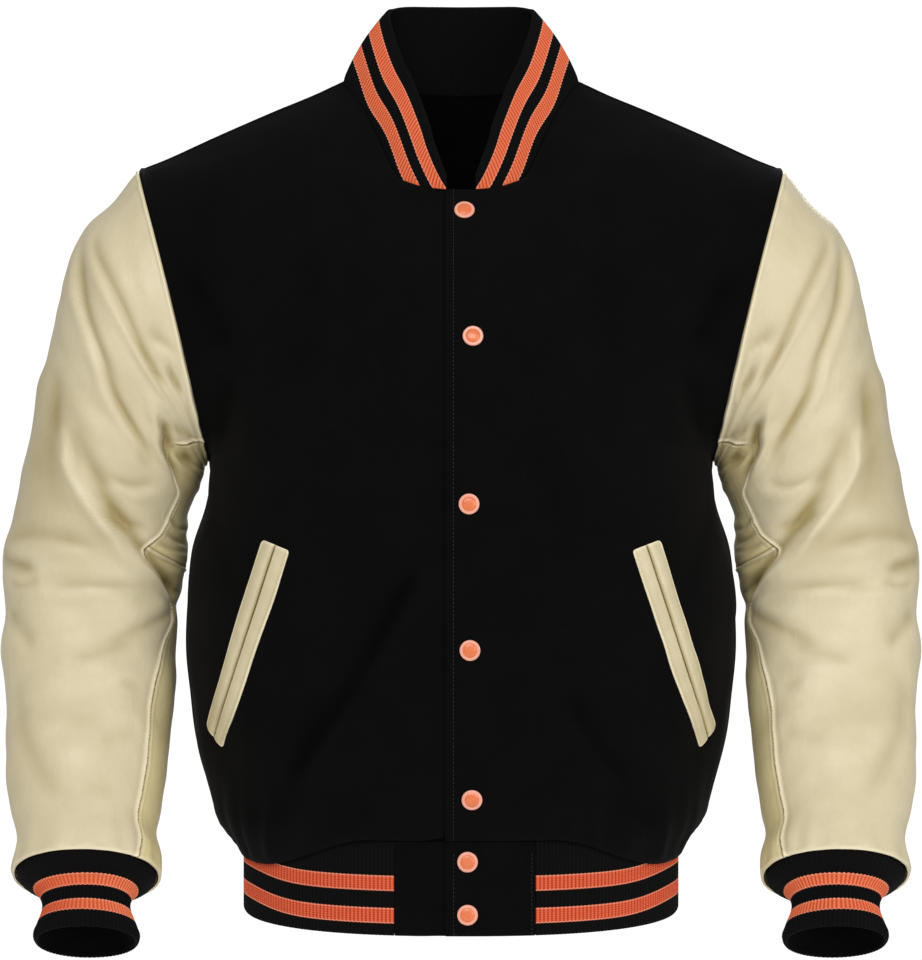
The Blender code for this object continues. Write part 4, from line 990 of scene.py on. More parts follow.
def black_melton():
    """Fulled wool: near black, wholly matt, with a short felted nap that catches a little light."""
    finish, tree, shader = new_finish("black melton wool", Roughness=0.95, IOR=1.45, Metallic=0.0,
                                      Sheen_Weight=0.015, Sheen_Roughness=0.5,
                                      Specular_IOR_Level=0.08)
    place = add_node(tree, "ShaderNodeTexCoord").outputs["Object"]
    hollow = add_node(tree, "ShaderNodeAttribute", attribute_name="hollow").outputs["Fac"]
    nap = add_node(tree, "ShaderNodeTexNoise", {
        "Vector": place, "Scale": 1 / NAP, "Detail": 4.0, "Roughness": 0.7,
        "Distortion": 0.8}).outputs["Fac"]
    clouds = add_node(tree, "ShaderNodeTexNoise", {
        "Vector": place, "Scale": 1 / NAP_CLOUD, "Detail": 3.0}).outputs["Fac"]
    tone = add_node(tree, "ShaderNodeMath", {0: clouds, 1: 0.35, 2: nap}, operation="MULTIPLY_ADD")
    tone = add_node(tree, "ShaderNodeMapRange", {
        "Value": tone.outputs[0], "From Min": 0.4, "From Max": 0.95}).outputs["Result"]
    body = add_node(tree, "ShaderNodeMix", {
        "Factor": tone, "A": linear("030303"), "B": linear("0A0A0A")}, data_type="RGBA")
    # painted shade: darker still in the folds and along the seams
    body = add_node(tree, "ShaderNodeMix", {
        "Factor": hollow, "A": body.outputs["Result"], "B": linear("020202")}, data_type="RGBA")
    tree.links.new(body.outputs["Result"], shader.inputs["Base Color"])
    felt = add_node(tree, "ShaderNodeBump", {"Height": nap, "Strength": 0.5, "Distance": 0.5 * MM})
    tree.links.new(felt.outputs["Normal"], shader.inputs["Normal"])
    return finish


def part_at_seams(grid):
    """Draw a panel back from its top and its side by its half of the gap at each seam."""
    grid[-1] += unit(grid[-2] - grid[-1]) * SEAM / 2
    grid[:, -1] += unit(grid[:, -2] - grid[:, -1]) * SEAM / 2


wool = black_melton()
cloth = {}
neck_columns = tuple(NECK["seam_x"][:HIGH_POINT - 1:-1])
for side, reach, folds, seed in (("left", OVERLAP, LEFT_FOLDS, 21), ("right", UNDERLAP, RIGHT_FOLDS, 22)):
    columns = [-reach / MM, *neck_columns, *SHOULDER_COLUMNS]
    grid, gap, push, hollow = body_half(columns, -1, len(neck_columns), FRONT_FOLDS + folds, seed)
    grid, out = body_shell(grid, gap, push, -1)
    if side == "right":
        grid = grid - out * under_drop(grid[..., :1])
    part_at_seams(grid)
    outer, inner, hollow = grid[:, ::-1], (grid - out * WOOL)[:, ::-1], hollow[:, ::-1]
    if side == "right":
        outer, inner, hollow = mirrored(outer), mirrored(inner), hollow[:, ::-1]
    cloth["front_" + side] = shell(f"front_{side}_wool", outer, inner, [wool], hollow=hollow), outer

halves = []
for side in (1, -1):
    columns = [*NECK["seam_x"][:HIGH_POINT + 1], *SHOULDER_COLUMNS]
    grid, gap, push, hollow = body_half(columns, 1, HIGH_POINT, BACK_FOLDS, 23, side)
    grid, out = body_shell(grid, gap, push, 1)
    part_at_seams(grid)
    halves.append((grid, grid - out * WOOL, hollow))
outer, inner = (np.concatenate([mirrored(halves[1][i])[:, :-1], halves[0][i]], axis=1) for i in (0, 1))
hollow = np.concatenate([halves[1][2][:, :0:-1], halves[0][2]], axis=1)
cloth["back"] = shell("back_wool", outer, inner, [wool], hollow=hollow), outer
for node, (width, length, area, neighbours) in {
        "front_left": (0.335, 0.66, 0.168, ["back_wool"]),
        "front_right": (0.345, 0.66, 0.17, ["back_wool", "front_left_wool"]),
        "back": (0.62, 0.70, 0.319, ["front_left_wool", "front_right_wool"])}.items():
    piece = cloth[node][0]
    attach(piece, "root")
    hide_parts(node)


# ---------------------------------------------------------------- waistband
# One strip of the same rib knit, folded double and stretched on from tab to tab round the back. Each
# end is sewn to a plain tab of stiffened wool that carries the lowest two snaps.

BAND_WIDTH = 173.5 * MM    # from its middle out to the side,
BAND_FRONT = 135 * MM      # to the front
BAND_BACK = 119 * MM       # and to the back
BAND_TALL = 71.5
BAND_RIBS = 276
BAND_ROWS = (0, 0.5, 1.2, 2.2, 3.6, 6, 12, 20, 30, 40, 50, 60, 66, 70, 71.5)
BAND_STRIPES = ((8.3, 20.0), (33.1, 44.7))
BAND_LIFT = 1.4            # how much higher the stripes are worked in than that,
SIDE_LIFT = 6.0            # and higher still at the sides, where the knit is drawn up
FOLD_OVER = 2.4            # a folded edge of knit or wool turns in over this height,
SEWN_OVER = 3              # and an edge that is sewn on is drawn in over this one
TAB_CLOTH = 2.4 * MM       # the tabs' wool, folded double over its stiffening
TAB_LEFT = 57 * MM         # from the centre to the outer end of the left tab
TAB_RIGHT = 51 * MM        # and of the right one
TAB_STEP = 4               # between columns of a tab's mesh
TAB_ROWS = (0, 0.5, 1.2, 2.2, 3.6, 6, 10, 16, 24, 34, 44, 54, 62, 67, 69.5, 71.5)
TAB_EDGE = 1.8             # a tab's side edges turn in by 0.6 over this width


def band_section(angle):
    """Points of the waistband's upper edge, by an angle from the centre front round by the wearer's
    right, and the direction out of it."""
    across, forward = -power(np.sin(angle), 2 / BODY_ROUND), power(np.cos(angle), 2 / BODY_ROUND)
    depth = np.where(forward > 0, BAND_FRONT, BAND_BACK)
    height = BAND_TOP - BAND_DIP * np.maximum(forward, 0)
    points = np.stack([BAND_WIDTH * across, -depth * forward, height], axis=-1)
    sideways = power(across, BODY_ROUND - 1) / BAND_WIDTH
    ahead = power(forward, BODY_ROUND - 1) / depth
    return points, unit(np.stack([sideways, -ahead, 0 * across], axis=-1))


def band_angles(start, end, count):
    """Angles that part the waistband into even lengths, from one place across to another."""
    first = math.asin((start / BAND_WIDTH) ** (BODY_ROUND / 2))
    last = 2 * math.pi - math.asin((end / BAND_WIDTH) ** (BODY_ROUND / 2))
    fine = np.linspace(first, last, 4000)
    steps = np.linalg.norm(np.diff(band_section(fine)[0], axis=0), axis=1)
    length = np.concatenate([[0], np.cumsum(steps)])
    return np.interp(np.linspace(0, length[-1], count), length, fine)


def strip_wall(points, out, rise, tall, rows, thick):
    """Outer and inner grids of a strip that hangs from a line of points, turned in at its fold."""
    up = np.array(rows, dtype=float)[:, None]
    fold = np.clip(1 - up / FOLD_OVER, 0, 1) ** 2
    seam = np.clip((up - tall + SEWN_OVER) / SEWN_OVER, 0, 1) ** 2
    drawn = -(0.5 * thick * fold + 0.5 * MM * seam)
    base = points[None] + np.array([0, 0, 1]) * ((up - tall) * MM)[..., None]
    outer = base + out[None] * (drawn + rise[None, :])[..., None]
    inner = base - out[None] * (thick + RIB_RISE * (rise.min() < 0) - 0.45 * thick * fold)[..., None]
    return outer, inner


# painted shade: the waistband's stripes get a darker copy of the cuffs' orange
striped_band = rib_knit("black rib knit, waistband stripes in painted shade", BAND_STRIPES, "DB5B35", "B83211")
ribs, rise = rib_rise(BAND_RIBS, closed=False)
points, out = band_section(band_angles(TAB_RIGHT + SEAM, TAB_LEFT + SEAM, len(ribs)))
outer, inner = strip_wall(points, out, rise, BAND_TALL, BAND_ROWS, RIB_KNIT)
by_side = np.exp(-((np.abs(points[:, 0]) - BAND_WIDTH) / (29 * MM)) ** 2)
by_side = by_side * ease((70 * MM - points[:, 1]) / (140 * MM))
cut = cut_map(ribs, np.array(BAND_ROWS)[:, None] - (BAND_LIFT + SIDE_LIFT * by_side))
waistband = shell("waistband_knit", outer, inner, [striped_band, plain_rib], cut=cut)
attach(waistband, "root")
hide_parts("waistband")
tabs = {}
for side, start, end in (("left", TAB_LEFT, -OVERLAP), ("right", UNDERLAP, -TAB_RIGHT)):
    size = abs(start - end) / MM
    across = start - marks(size, TAB_STEP) * MM
    points, out = band_section(-np.arcsin(power(across / BAND_WIDTH, BODY_ROUND / 2)))
    if side == "right":
        points = points - out * under_drop(-across)[:, None]
    edge = np.minimum(marks(size, TAB_STEP), marks(size, TAB_STEP)[::-1])
    rise = -0.6 * MM * np.clip(1 - edge / TAB_EDGE, 0, 1) ** 2
    outer, inner = strip_wall(points, out, rise, BAND_TALL, TAB_ROWS, TAB_CLOTH)
    tab = shell(f"waistband_tab_{side}_wool", outer, inner, [wool])
    tabs[side] = tab, outer
    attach(tab, "root")
    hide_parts(f"waistband_tab_{side}")


# ---------------------------------------------------------------- collar
# A band of the rib knit, folded double, that stands on the neck seam and tapers to the front, where
# the seam cuts its stripes off. Its inner layer is plain black.

COLLAR_ROLL = 0.22         # how far the collar rolls outwards, over its height
COLLAR_RIBS = 186
INNER_RIB = 0.6            # how far the ribs of its inner layer stand out, over those of the outer one
COLLAR_STRIPES = ((11.3, 24.2), (35, 48))
COLLAR_ROWS = (0, 0.03, 0.07, 0.12, 0.18, 0.25, 0.32, 0.39, 0.46, 0.53, 0.6, 0.67, 0.74, 0.81, 0.87,
               0.92, 0.955, 0.978, 0.99, 1)


def make_collar(finishes):
    """A ribbed band from the neck seam up to its fold."""
    ribs, rise = rib_rise(COLLAR_RIBS, closed=False)
    knots = len(NECK["seam_x"])
    place = np.linspace(1 - knots, knots - 1, 1601)
    steps = np.linalg.norm(np.diff(neck_line("seam", place), axis=0), axis=1)
    length = np.concatenate([[0], np.cumsum(steps)])
    at = np.interp(ribs / COLLAR_RIBS * length[-1], length, place)
    low, high = neck_line("seam", at), neck_line("edge", at)
    low = low + unit(high - low) * 0.5 * SEAM
    tall = np.linalg.norm(high - low, axis=-1, keepdims=True)
    lean_out = unit(np.cross(high - low, np.gradient(high + low, axis=0)))
    share = np.array(COLLAR_ROWS)[:, None, None]
    form = low + (high - low) * share + lean_out * tall * COLLAR_ROLL * share * (1 - share)
    out = normals(form)
    out = lean(out, from_edges(form)["bottom"], -neck_inward(low), 2.5)
    gap = from_edges(form)
    turned = 1.2 * MM * np.clip(1 - gap["top"] / FOLD_OVER, 0, 1) ** 2
    sewn = 0.6 * MM * bump(gap["bottom"], 0, 2)
    outer = form + out * (rise[None, :] - turned - sewn)[..., None]
    inner_rise = RIB_RISE * INNER_RIB * (np.abs(np.sin(math.pi * ribs)) ** RIB_SHAPE - 1)
    inner = form - out * (RIB_RISE + RIB_KNIT + inner_rise[None, :] - 0.9 * turned)[..., None]
    return shell("collar_knit", outer, inner, finishes, cut=cut_map(ribs, gap["top"]))


# painted shade: the collar's stripes get a slightly darker copy of the cuffs' orange
striped_collar = rib_knit("black rib knit, collar stripes in painted shade", COLLAR_STRIPES, "E8774C", "C84219")
collar = make_collar([striped_collar, plain_rib])
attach(collar, "root")
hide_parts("collar")


# ---------------------------------------------------------------- pocket welts
# Each slanting side pocket is edged by two strips of the sleeves' leather, folded over a cord of
# stiffening and stitched down round their edges. The slit runs between them.

WELT_WIDTH = 13.0
WELT_LENGTH = 157.5
WELT_THICK = 2.2           # of its crown over its seat
WELT_CORNER = 3.0          # radius of its outer corners
WELT_SEAT = 0.8            # from the wool to its seat. Its underside lies half as high.
WELT_GROOVE = 0.7          # the slit, from one welt to the other
WELT_CROWN = (5.2, 3.8)    # the place of its crown, out from the slit, and its width
WELT_VALLEY = (10.6, 1.1)  # and those of the stitched valley outside it
WELT_ROWS = 64
WELT_COLUMNS = (0, 0.5, 1.2, 2.2, 3.6, 5.2, 7.2, 9.2, 10.8, 11.9, 12.6, WELT_WIDTH)
POCKET = table("out up", (141.4, -367.4), (191.2, -517.6))    # the two ends of a slit


def tree_of(piece):
    """The faces of a piece, for finding places on it."""
    mesh = piece.data
    return BVHTree.FromPolygons([v.co for v in mesh.vertices], [p.vertices for p in mesh.polygons])


def straight_behind(tree, x, z):
    """The point of a piece, and its normal, that lies behind (x, z) as seen from the front."""
    point, normal, *_ = tree.ray_cast(Vector((x, -1, z)), Vector((0, 1, 0)))
    return point, normal


def pocket_slit(tree, sign):
    """Points down a pocket's slit, and the wool's normals at them."""
    shares = np.linspace(1, 0, WELT_ROWS)
    return [straight_behind(tree, sign * float(x), float(z))
            for x, z in zip(*(np.interp(shares, (0, 1), ends) * MM for ends in POCKET.values()))]


def welt_base(tree, slit, way):
    """Points on the wool under one welt: rows along the slit, and columns out from it, to the side
    that way points to. Its outer corners are rounded."""
    run = np.linspace(0, WELT_LENGTH, WELT_ROWS)
    in_corner = np.maximum(np.array(WELT_COLUMNS) - WELT_WIDTH + WELT_CORNER, 0)
    corner = WELT_CORNER - np.sqrt(np.maximum(WELT_CORNER ** 2 - in_corner ** 2, 0))
    down = (slit[0][0] - slit[-1][0]).normalized()
    base = np.empty((WELT_ROWS, len(WELT_COLUMNS), 3))
    for row, (point, normal) in enumerate(slit):
        near, far = slit[max(row - 6, 0)], slit[min(row + 6, WELT_ROWS - 1)]
        across = (near[1] + far[1]).cross(far[0] - near[0]).normalized()
        across = across if across.x * way > 0 else -across
        for col, step in enumerate(WELT_COLUMNS):
            place = point + across * (WELT_GROOVE / 2 + step) * MM
            place = place - down * corner[col] * (1 - 2 * run[row] / WELT_LENGTH) * MM
            base[row, col] = tree.find_nearest(place)[0]
    return base[:, ::-1] if way > 0 else base


def make_welt(name, base, way):
    """One strip of leather over its base: a rounded crown along the slit, a stitched valley on either
    side of it, and edges that are folded under."""
    out = normals(base)
    columns = np.array(WELT_COLUMNS)
    from_slit = columns[::-1] if way > 0 else columns
    run = np.linspace(0, WELT_LENGTH, WELT_ROWS)
    end = np.minimum(run, WELT_LENGTH - run)[:, None]
    crown = 0.62 + 0.38 * bump(from_slit, *WELT_CROWN) - 0.24 * bump(from_slit, *WELT_VALLEY)
    crown = crown - 0.5 * bump(from_slit, 13.2, 1.2) - 0.5 * bump(from_slit, -0.2, 1.1)
    crown = crown * (1 - 0.4 * bump(end, 0, 1.6)) - 0.16 * bump(end, 5, 1.2)
    ripple = np.sin(run / 3.1 + 1.3 * np.sin(run / 7))[:, None]
    crown = crown + 0.13 * ripple * bump(from_slit, 6.5, 4.5)
    height = (WELT_SEAT + WELT_THICK * np.maximum(crown, 0.2)) * MM
    outer, inner = base + out * height[..., None], base + out * WELT_SEAT * 0.5 * MM
    # painted shade in the slit and along the stitched valley, over a slightly more olive tone everywhere
    hollow = 0.1 + 0.85 * bump(from_slit, 0, 1.0) + 0.2 * bump(from_slit, WELT_VALLEY[0], 0.9) + 0 * end
    # painted highlight, with rubbed wear, along the folded outer edge, beside the slit and at the ends
    rubbed = 1.2 * bump(from_slit, 12.8, 1.0) + 0.35 * bump(from_slit, 2.4, 1.0)
    rubbed = rubbed + 0.9 * bump(end, 0, 1.1)
    return shell(name, outer, inner, [leather], hollow=hollow, rubbed=rubbed), outer


trees = {side: tree_of(cloth["front_" + side][0]) for side in ("left", "right")}
welts = []
for side, sign in (("left", 1), ("right", -1)):
    slit = pocket_slit(trees[side], sign)
    for part, way in (("side", sign), ("front", -sign)):
        welt, outer = make_welt(f"pocket_welt_{part}_{side}_leather", welt_base(trees[side], slit, way), way)
        welts.append((outer, way))
        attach(welt, "root")
        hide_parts(f"pocket_welt_{part}_{side}")


# ---------------------------------------------------------------- snap caps
# Seven press-stud caps of pressed brass, enamelled orange, with a rolled rim painted paler as a highlight.
# The lowest two are set in the left tab.

SNAPS = table(
    "across up",
    (2.7, -108.5), (9.1, -208), (6.1, -335.8), (6.8, -446.7), (8.3, -560.5), (5, -609.5),
    (5, -650))
# The radius and the height of a cap's rings, from the cloth up to its middle
SNAP_PROFILE = ((0, 0), (7.6, 0), (7.9, 0.25), (7.9, 0.7), (7.7, 1.1), (7.2, 1.38), (6.5, 1.42),
                (5.95, 1.3), (5.6, 1.36), (5.3, 1.66), (4.7, 1.98), (3.6, 2.3), (2.2, 2.52), (0, 2.6))
SNAP_SIDES = 40
SNAP_RIM = 7               # steps of the profile, up from the cloth, that belong to the rim
SNAP_SEAT = 0.15           # between the cloth and the cap
FIRST_ON_TAB = 5           # snaps from this one on are set in the tab
PEEL = 1.2 * MM            # size of the enamel's orange-peel
WORN = 6 * MM              # and of its worn patches


def enamel(name, colour, worn):
    """Baked enamel on pressed brass: even, with a clear gloss and faint orange-peel."""
    finish, tree, shader = new_finish(name, IOR=1.5, Metallic=0.0, Coat_Weight=0.25,
                                      Coat_Roughness=0.12)
    place = add_node(tree, "ShaderNodeTexCoord").outputs["Object"]
    peel = add_node(tree, "ShaderNodeTexNoise", {"Vector": place, "Scale": 1 / PEEL}).outputs["Fac"]
    patches = add_node(tree, "ShaderNodeTexNoise", {
        "Vector": place, "Scale": 1 / WORN, "Detail": 4.0}).outputs["Fac"]
    rubbed = add_node(tree, "ShaderNodeMapRange", {
        "Value": patches, "From Min": 0.45, "From Max": 0.8, "To Min": 0.0, "To Max": 0.5})
    body = add_node(tree, "ShaderNodeMix", {
        "Factor": rubbed.outputs["Result"], "A": linear(colour), "B": linear(worn)}, data_type="RGBA")
    tree.links.new(body.outputs["Result"], shader.inputs["Base Color"])
    gloss = add_node(tree, "ShaderNodeMapRange", {
        "Value": patches, "From Min": 0.3, "From Max": 0.7, "To Min": 0.26, "To Max": 0.38})
    tree.links.new(gloss.outputs["Result"], shader.inputs["Roughness"])
    orange_peel = add_node(tree, "ShaderNodeBump", {
        "Height": peel, "Strength": 0.1, "Distance": 0.1 * MM})
    tree.links.new(orange_peel.outputs["Normal"], shader.inputs["Normal"])
    return finish


def snap_cap(finishes):
    """One cap, turned round its own +Z, with its rim in the second finish."""
    angle = np.arange(SNAP_SIDES) * 2 * math.pi / SNAP_SIDES
    points, faces, slots = [(0, 0, SNAP_PROFILE[0][1] * MM)], [], []
    for radius, height in SNAP_PROFILE[1:-1]:
        points += [(radius * math.cos(a) * MM, radius * math.sin(a) * MM, height * MM) for a in angle]
    points.append((0, 0, SNAP_PROFILE[-1][1] * MM))
    top = len(points) - 1
    last = top - SNAP_SIDES
    for i in range(SNAP_SIDES):
        j = (i + 1) % SNAP_SIDES
        faces.append((0, 1 + j, 1 + i))
        slots.append(1)
        for ring in range(len(SNAP_PROFILE) - 3):
            low, high = 1 + ring * SNAP_SIDES, 1 + (ring + 1) * SNAP_SIDES
            faces.append((low + i, low + j, high + j, high + i))
            slots.append(1 if ring < SNAP_RIM else 0)
        faces.append((last + i, last + j, top))
        slots.append(0)
    mesh = bpy.data.meshes.new("snap_cap_form")
    mesh.from_pydata(points, [], faces)
    for finish in finishes:
        mesh.materials.append(finish)
    mesh.polygons.foreach_set("material_index", slots)
    mesh.shade_smooth()
    cap = bpy.data.objects.new("snap_cap_form", mesh)
    bpy.context.collection.objects.link(cap)
    return cap


def points_object(name, points, edges, **vectors):
    """Loose points, or lines of them, with a vector for each."""
    mesh = bpy.data.meshes.new(name)
    mesh.from_pydata([tuple(p) for p in points], edges, [])
    for label, values in vectors.items():
        layer = mesh.attributes.new(label, "FLOAT_VECTOR", "POINT")
        layer.data.foreach_set("vector", np.array(values, dtype=np.float32).ravel())
    piece = bpy.data.objects.new(name, mesh)
    bpy.context.collection.objects.link(piece)
    return piece


def grow(source, tree, name, **inputs):
    """Run a Geometry Nodes tree on a piece and keep what it makes as a plain mesh."""
    modifier = source.modifiers.new("grow", "NODES")
    modifier.node_group = tree
    for item in tree.interface.items_tree:
        if item.item_type == "SOCKET" and item.in_out == "INPUT" and item.name in inputs:
            modifier[item.identifier] = inputs[item.name]
    bpy.context.view_layer.update()
    evaluated = source.evaluated_get(bpy.context.evaluated_depsgraph_get())
    mesh = bpy.data.meshes.new_from_object(evaluated)
    mesh.name = name
    made = bpy.data.objects.new(name, mesh)
    bpy.context.collection.objects.link(made)
    bpy.data.objects.remove(source)
    return made


def new_growth(name, **sockets):
    """A Geometry Nodes tree with named inputs, its input node and its output node."""
    tree = bpy.data.node_groups.new(name, "GeometryNodeTree")
    tree.interface.new_socket("Geometry", in_out="INPUT", socket_type="NodeSocketGeometry")
    for label, kind in sockets.items():
        tree.interface.new_socket(label, in_out="INPUT", socket_type=kind)
    tree.interface.new_socket("Geometry", in_out="OUTPUT", socket_type="NodeSocketGeometry")
    return tree, add_node(tree, "NodeGroupInput"), add_node(tree, "NodeGroupOutput")


def snap_setter():
    """Set one cap square to the cloth at each point."""
    tree, given, made = new_growth("set snap caps", Cap="NodeSocketObject", Finish="NodeSocketMaterial")
    cap = add_node(tree, "GeometryNodeObjectInfo", {"Object": given.outputs["Cap"]})
    out = add_node(tree, "GeometryNodeInputNamedAttribute", {"Name": "out"}, data_type="FLOAT_VECTOR")
    turn = add_node(tree, "FunctionNodeAlignRotationToVector", {"Vector": out.outputs["Attribute"]},
                    axis="Z")
    caps = add_node(tree, "GeometryNodeInstanceOnPoints", {
        "Points": given.outputs["Geometry"], "Instance": cap.outputs["Geometry"],
        "Rotation": turn.outputs["Rotation"]})
    real = add_node(tree, "GeometryNodeRealizeInstances", {"Geometry": caps.outputs["Instances"]})
    rim = add_node(tree, "GeometryNodeInputMaterialIndex")
    centre = add_node(tree, "FunctionNodeCompare", {2: rim.outputs[0], 3: 0}, data_type="INT",
                      operation="EQUAL")
    finished = add_node(tree, "GeometryNodeSetMaterial", {
        "Geometry": real.outputs["Geometry"], "Selection": centre.outputs["Result"],
        "Material": given.outputs["Finish"]})
    tree.links.new(finished.outputs["Geometry"], made.inputs["Geometry"])
    return tree


# the second enamel paints a highlight on the rolled rim
enamels = [enamel("orange enamelled brass", "E57846", "D6632F"),
           enamel("orange enamelled brass, rim with painted highlight", "EDA790", "E4876A")]
cap = snap_cap(enamels)
places, facings = [], []
tab_tree = tree_of(tabs["left"][0])
for i, (across, up) in enumerate(zip(*SNAPS.values())):
    tree = trees["left"] if i < FIRST_ON_TAB else tab_tree
    point, normal = straight_behind(tree, across * MM, up * MM)
    places.append(point + normal * SNAP_SEAT * MM)
    facings.append(normal)
snaps = grow(points_object("snap_places", places, [], out=facings), snap_setter(), "snap_caps",
             Cap=cap, Finish=enamels[0])
bpy.data.objects.remove(cap)
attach(snaps, "root")
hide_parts(*[f"snap_cap_{i + 1}" for i in range(7)])


# ---------------------------------------------------------------- topstitching
# Bonded polyester thread, cream on the leather and black on the wool, about 3 mm to a stitch. A line
# runs along the ridge of each sleeve seam, round each welt, and along the closing and the hem tabs.

STITCH_LENGTH = 2.5 * MM
STITCH_PITCH = 3.1 * MM
THREAD_WIDTH = 0.62 * MM
THREAD_RAISED = 0.12       # from the cloth to the middle of the thread
THREAD_PLY = 0.8 * MM      # one turn of its plies, drawn coarser than it is so that it shows
LINE_ENDS = 3              # rows of the mesh that a line stays clear of at either end
CLOSING_AT = 6.5           # from the front edge to the line along it, on the front and on its tab
TAB_END_AT = 3             # from the tab's outer end to the line along it


def stitcher():
    """Lay a stitch at even steps along each line, flat on the cloth."""
    tree, given, made = new_growth(
        "lay stitches", Pitch="NodeSocketFloat", Length="NodeSocketFloat", Width="NodeSocketFloat",
        Finish="NodeSocketMaterial")
    line = add_node(tree, "GeometryNodeMeshToCurve", {"Mesh": given.outputs["Geometry"]})
    steps = add_node(tree, "GeometryNodeResampleCurve", {
        "Curve": line.outputs["Curve"], "Length": given.outputs["Pitch"]}, mode="LENGTH")
    bead = add_node(tree, "GeometryNodeMeshUVSphere", {"Segments": 6, "Rings": 4, "Radius": 0.5})
    size = add_node(tree, "ShaderNodeCombineXYZ", {
        "X": given.outputs["Length"], "Y": given.outputs["Width"], "Z": given.outputs["Width"]})
    along = add_node(tree, "GeometryNodeInputTangent")
    out = add_node(tree, "GeometryNodeInputNamedAttribute", {"Name": "out"}, data_type="FLOAT_VECTOR")
    turn = add_node(tree, "FunctionNodeAlignRotationToVector", {"Vector": along.outputs["Tangent"]},
                    axis="X")
    turn = add_node(tree, "FunctionNodeAlignRotationToVector", {
        "Rotation": turn.outputs["Rotation"], "Vector": out.outputs["Attribute"]},
        axis="Z", pivot_axis="X")
    laid = add_node(tree, "GeometryNodeInstanceOnPoints", {
        "Points": steps.outputs["Curve"], "Instance": bead.outputs["Mesh"],
        "Rotation": turn.outputs["Rotation"], "Scale": size.outputs["Vector"]})
    real = add_node(tree, "GeometryNodeRealizeInstances", {"Geometry": laid.outputs["Instances"]})
    smooth_on = add_node(tree, "GeometryNodeSetShadeSmooth", {"Geometry": real.outputs["Geometry"]})
    finished = add_node(tree, "GeometryNodeSetMaterial", {
        "Geometry": smooth_on.outputs["Geometry"], "Material": given.outputs["Finish"]})
    tree.links.new(finished.outputs["Geometry"], made.inputs["Geometry"])
    return tree


def thread(name, colour, shade):
    """Bonded polyester thread, twisted from three plies, with a slight lustre."""
    finish, tree, shader = new_finish(name, Roughness=0.5, IOR=1.5, Metallic=0.0)
    place = add_node(tree, "ShaderNodeTexCoord").outputs["Object"]
    plies = add_node(tree, "ShaderNodeTexNoise", {"Vector": place, "Scale": 1 / THREAD_PLY}).outputs["Fac"]
    body = add_node(tree, "ShaderNodeMix", {
        "Factor": plies, "A": linear(colour), "B": linear(shade)}, data_type="RGBA")
    tree.links.new(body.outputs["Result"], shader.inputs["Base Color"])
    twist = add_node(tree, "ShaderNodeBump", {"Height": plies, "Strength": 0.3, "Distance": 0.1 * MM})
    tree.links.new(twist.outputs["Normal"], shader.inputs["Normal"])
    return finish


def stitch_line(grid, edge, gap):
    """A line on a grid at a distance from one of its edges, and the directions out of the cloth."""
    out = normals(grid)
    if edge in ("bottom", "top"):
        grid, out = grid.transpose(1, 0, 2), out.transpose(1, 0, 2)
    if edge in ("last", "top"):
        grid, out = grid[:, ::-1], out[:, ::-1]
    reach = from_edges(grid)["first"]
    points, facing = (np.array([[np.interp(gap, reach[row], values[row, :, i]) for i in range(3)]
                                for row in range(len(grid))])[LINE_ENDS:-LINE_ENDS]
                      for values in (grid, out))
    return points + facing * THREAD_RAISED * MM, facing


def sew(name, lines, finish):
    """All the stitches of one thread, as one piece."""
    points = np.concatenate([line for line, _ in lines])
    facings = np.concatenate([out for _, out in lines])
    edges, start = [], 0
    for line, _ in lines:
        edges += [(start + i, start + i + 1) for i in range(len(line) - 1)]
        start += len(line)
    made = grow(points_object(name + "_lines", points, edges, out=facings), stitches, name,
                Pitch=STITCH_PITCH, Length=STITCH_LENGTH, Width=THREAD_WIDTH, Finish=finish)
    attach(made, "root")
    return made


stitches = stitcher()
leather_lines = []
for side in ("left", "right"):
    leather_lines += [stitch_line(sleeves[side][part][1], edge, RIDGE_AT)
                      for part, edge in (("top", "first"), ("top", "last"), ("under_lower", "top"))]
for outer, way in welts:
    leather_lines += [stitch_line(outer, edge, RIDGE_AT)
                      for edge in (("first", "last") if way < 0 else ("last", "first"))]
cream_thread = thread("cream polyester thread", "E4D7B2", "C0AF82")
cream_stitches = sew("leather_topstitching", leather_lines, cream_thread)
wool_lines = [stitch_line(cloth["front_left"][1], "last", CLOSING_AT),
              stitch_line(tabs["left"][1], "last", CLOSING_AT),
              stitch_line(tabs["left"][1], "first", TAB_END_AT)]
black_thread = thread("black polyester thread", "161616", "0A0A0A")
black_stitches = sew("wool_topstitching", wool_lines, black_thread)


# ---------------------------------------------------------------- studio
# A plain pale floor some way below the jacket, a broad soft light over the camera, a weaker one from
# the side, one from behind, and even white surroundings. Sizes here are metres.

FLOOR_RADIUS = 0.95
FLOOR_HEIGHT = -0.83
FLOOR_SIDES = 96
WHITE_LIGHT = 0.45         # strength of the white surroundings on the jacket
WHITE_SEEN = 1.05          # and as the camera sees them
SENSOR_MM = 36
CAMERA_AWAY = 3.0
CAMERA_HEIGHT = -0.3176
VIEW_WIDTH = 0.7376        # how wide a field the camera sees at the jacket's middle


def add_light(name, place, aim, size, power_w):
    """A rectangular lamp at a place, turned to its aim."""
    light = bpy.data.lights.new(name, "AREA")
    light.shape, light.size, light.size_y, light.energy = "RECTANGLE", size[0], size[1], power_w
    lamp = bpy.data.objects.new(name, light)
    lamp.location = place
    lamp.rotation_euler = (Vector(aim) - Vector(place)).to_track_quat("-Z", "Y").to_euler()
    bpy.context.collection.objects.link(lamp)


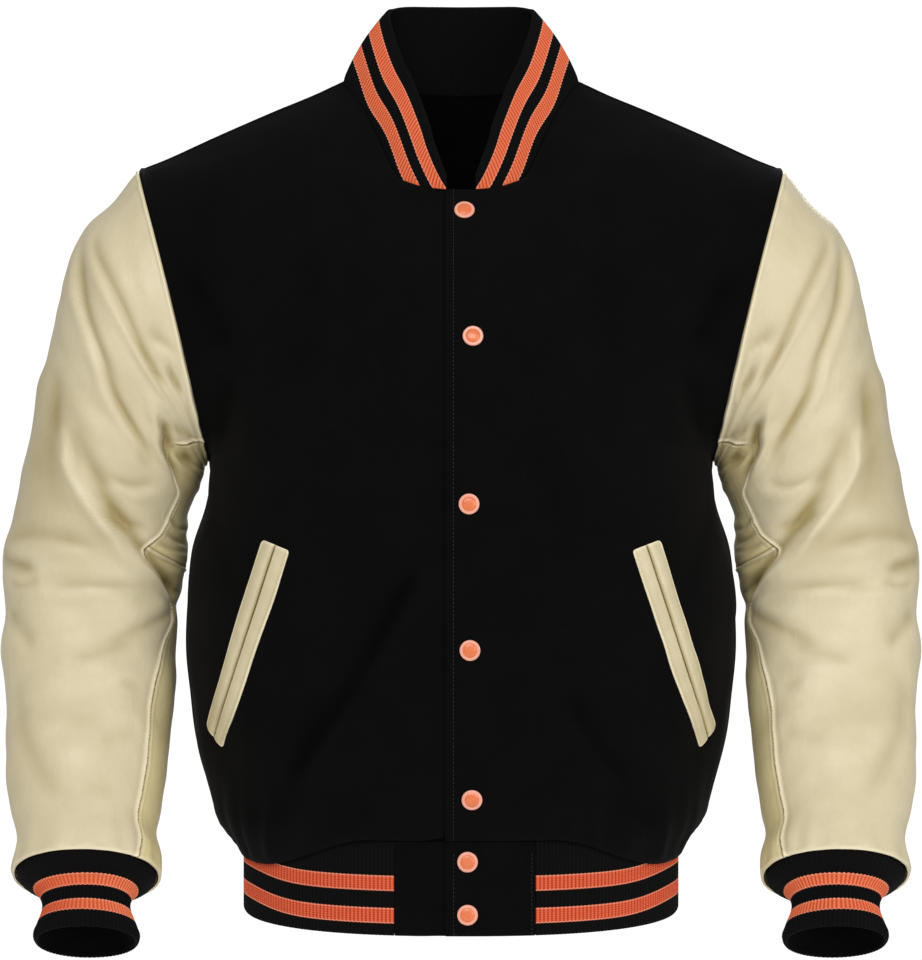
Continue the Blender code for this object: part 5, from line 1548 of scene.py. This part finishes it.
floor_mesh = bpy.data.meshes.new("studio_floor")
floor_mesh.from_pydata([(FLOOR_RADIUS * math.cos(a), FLOOR_RADIUS * math.sin(a), FLOOR_HEIGHT)
                        for a in np.arange(FLOOR_SIDES) * 2 * math.pi / FLOOR_SIDES],
                       [], [tuple(range(FLOOR_SIDES))])
floor_finish, *_ = new_finish(
    "pale studio floor", Base_Color=linear("F6F6F6"), Roughness=0.9, Emission_Color=(1, 1, 1, 1),
    Emission_Strength=0.12)
floor_mesh.materials.append(floor_finish)
floor = bpy.data.objects.new("studio_floor", floor_mesh)
bpy.context.collection.objects.link(floor)

add_light("key_light", (-0.5, -3.0, 1.4), (0, 0, -0.3), (2.6, 1.2), 54)
add_light("fill_light", (1.7, -2.3, 0.1), (0, 0, -0.35), (1.6, 1.6), 22)
add_light("back_light", (0.3, 3.0, 1.2), (0, 0, -0.3), (2.2, 1.4), 46)

world = bpy.data.worlds.new("white surroundings")
world.use_nodes = True
bpy.context.scene.world = world
world_tree = world.node_tree
background = world_tree.nodes["Background"]
background.inputs["Color"].default_value = (1, 1, 1, 1)
background.inputs["Strength"].default_value = WHITE_LIGHT
bright = add_node(world_tree, "ShaderNodeBackground", {"Color": (1, 1, 1, 1), "Strength": WHITE_SEEN})
seen = add_node(world_tree, "ShaderNodeLightPath")
either = add_node(world_tree, "ShaderNodeMixShader", {
    0: seen.outputs["Is Camera Ray"], 1: background.outputs[0], 2: bright.outputs[0]})
world_tree.links.new(either.outputs[0], world_tree.nodes["World Output"].inputs["Surface"])

scene = bpy.context.scene
scene.view_settings.view_transform = "Standard"
camera_data = bpy.data.cameras.new("camera")
camera_data.sensor_fit = "HORIZONTAL"
camera_data.sensor_width = SENSOR_MM
camera_data.lens = SENSOR_MM * CAMERA_AWAY / VIEW_WIDTH
camera = bpy.data.objects.new("camera", camera_data)
camera.location = (0, -CAMERA_AWAY, CAMERA_HEIGHT)
camera.rotation_euler = (math.radians(90), 0, 0)
bpy.context.collection.objects.link(camera)
scene.camera = camera
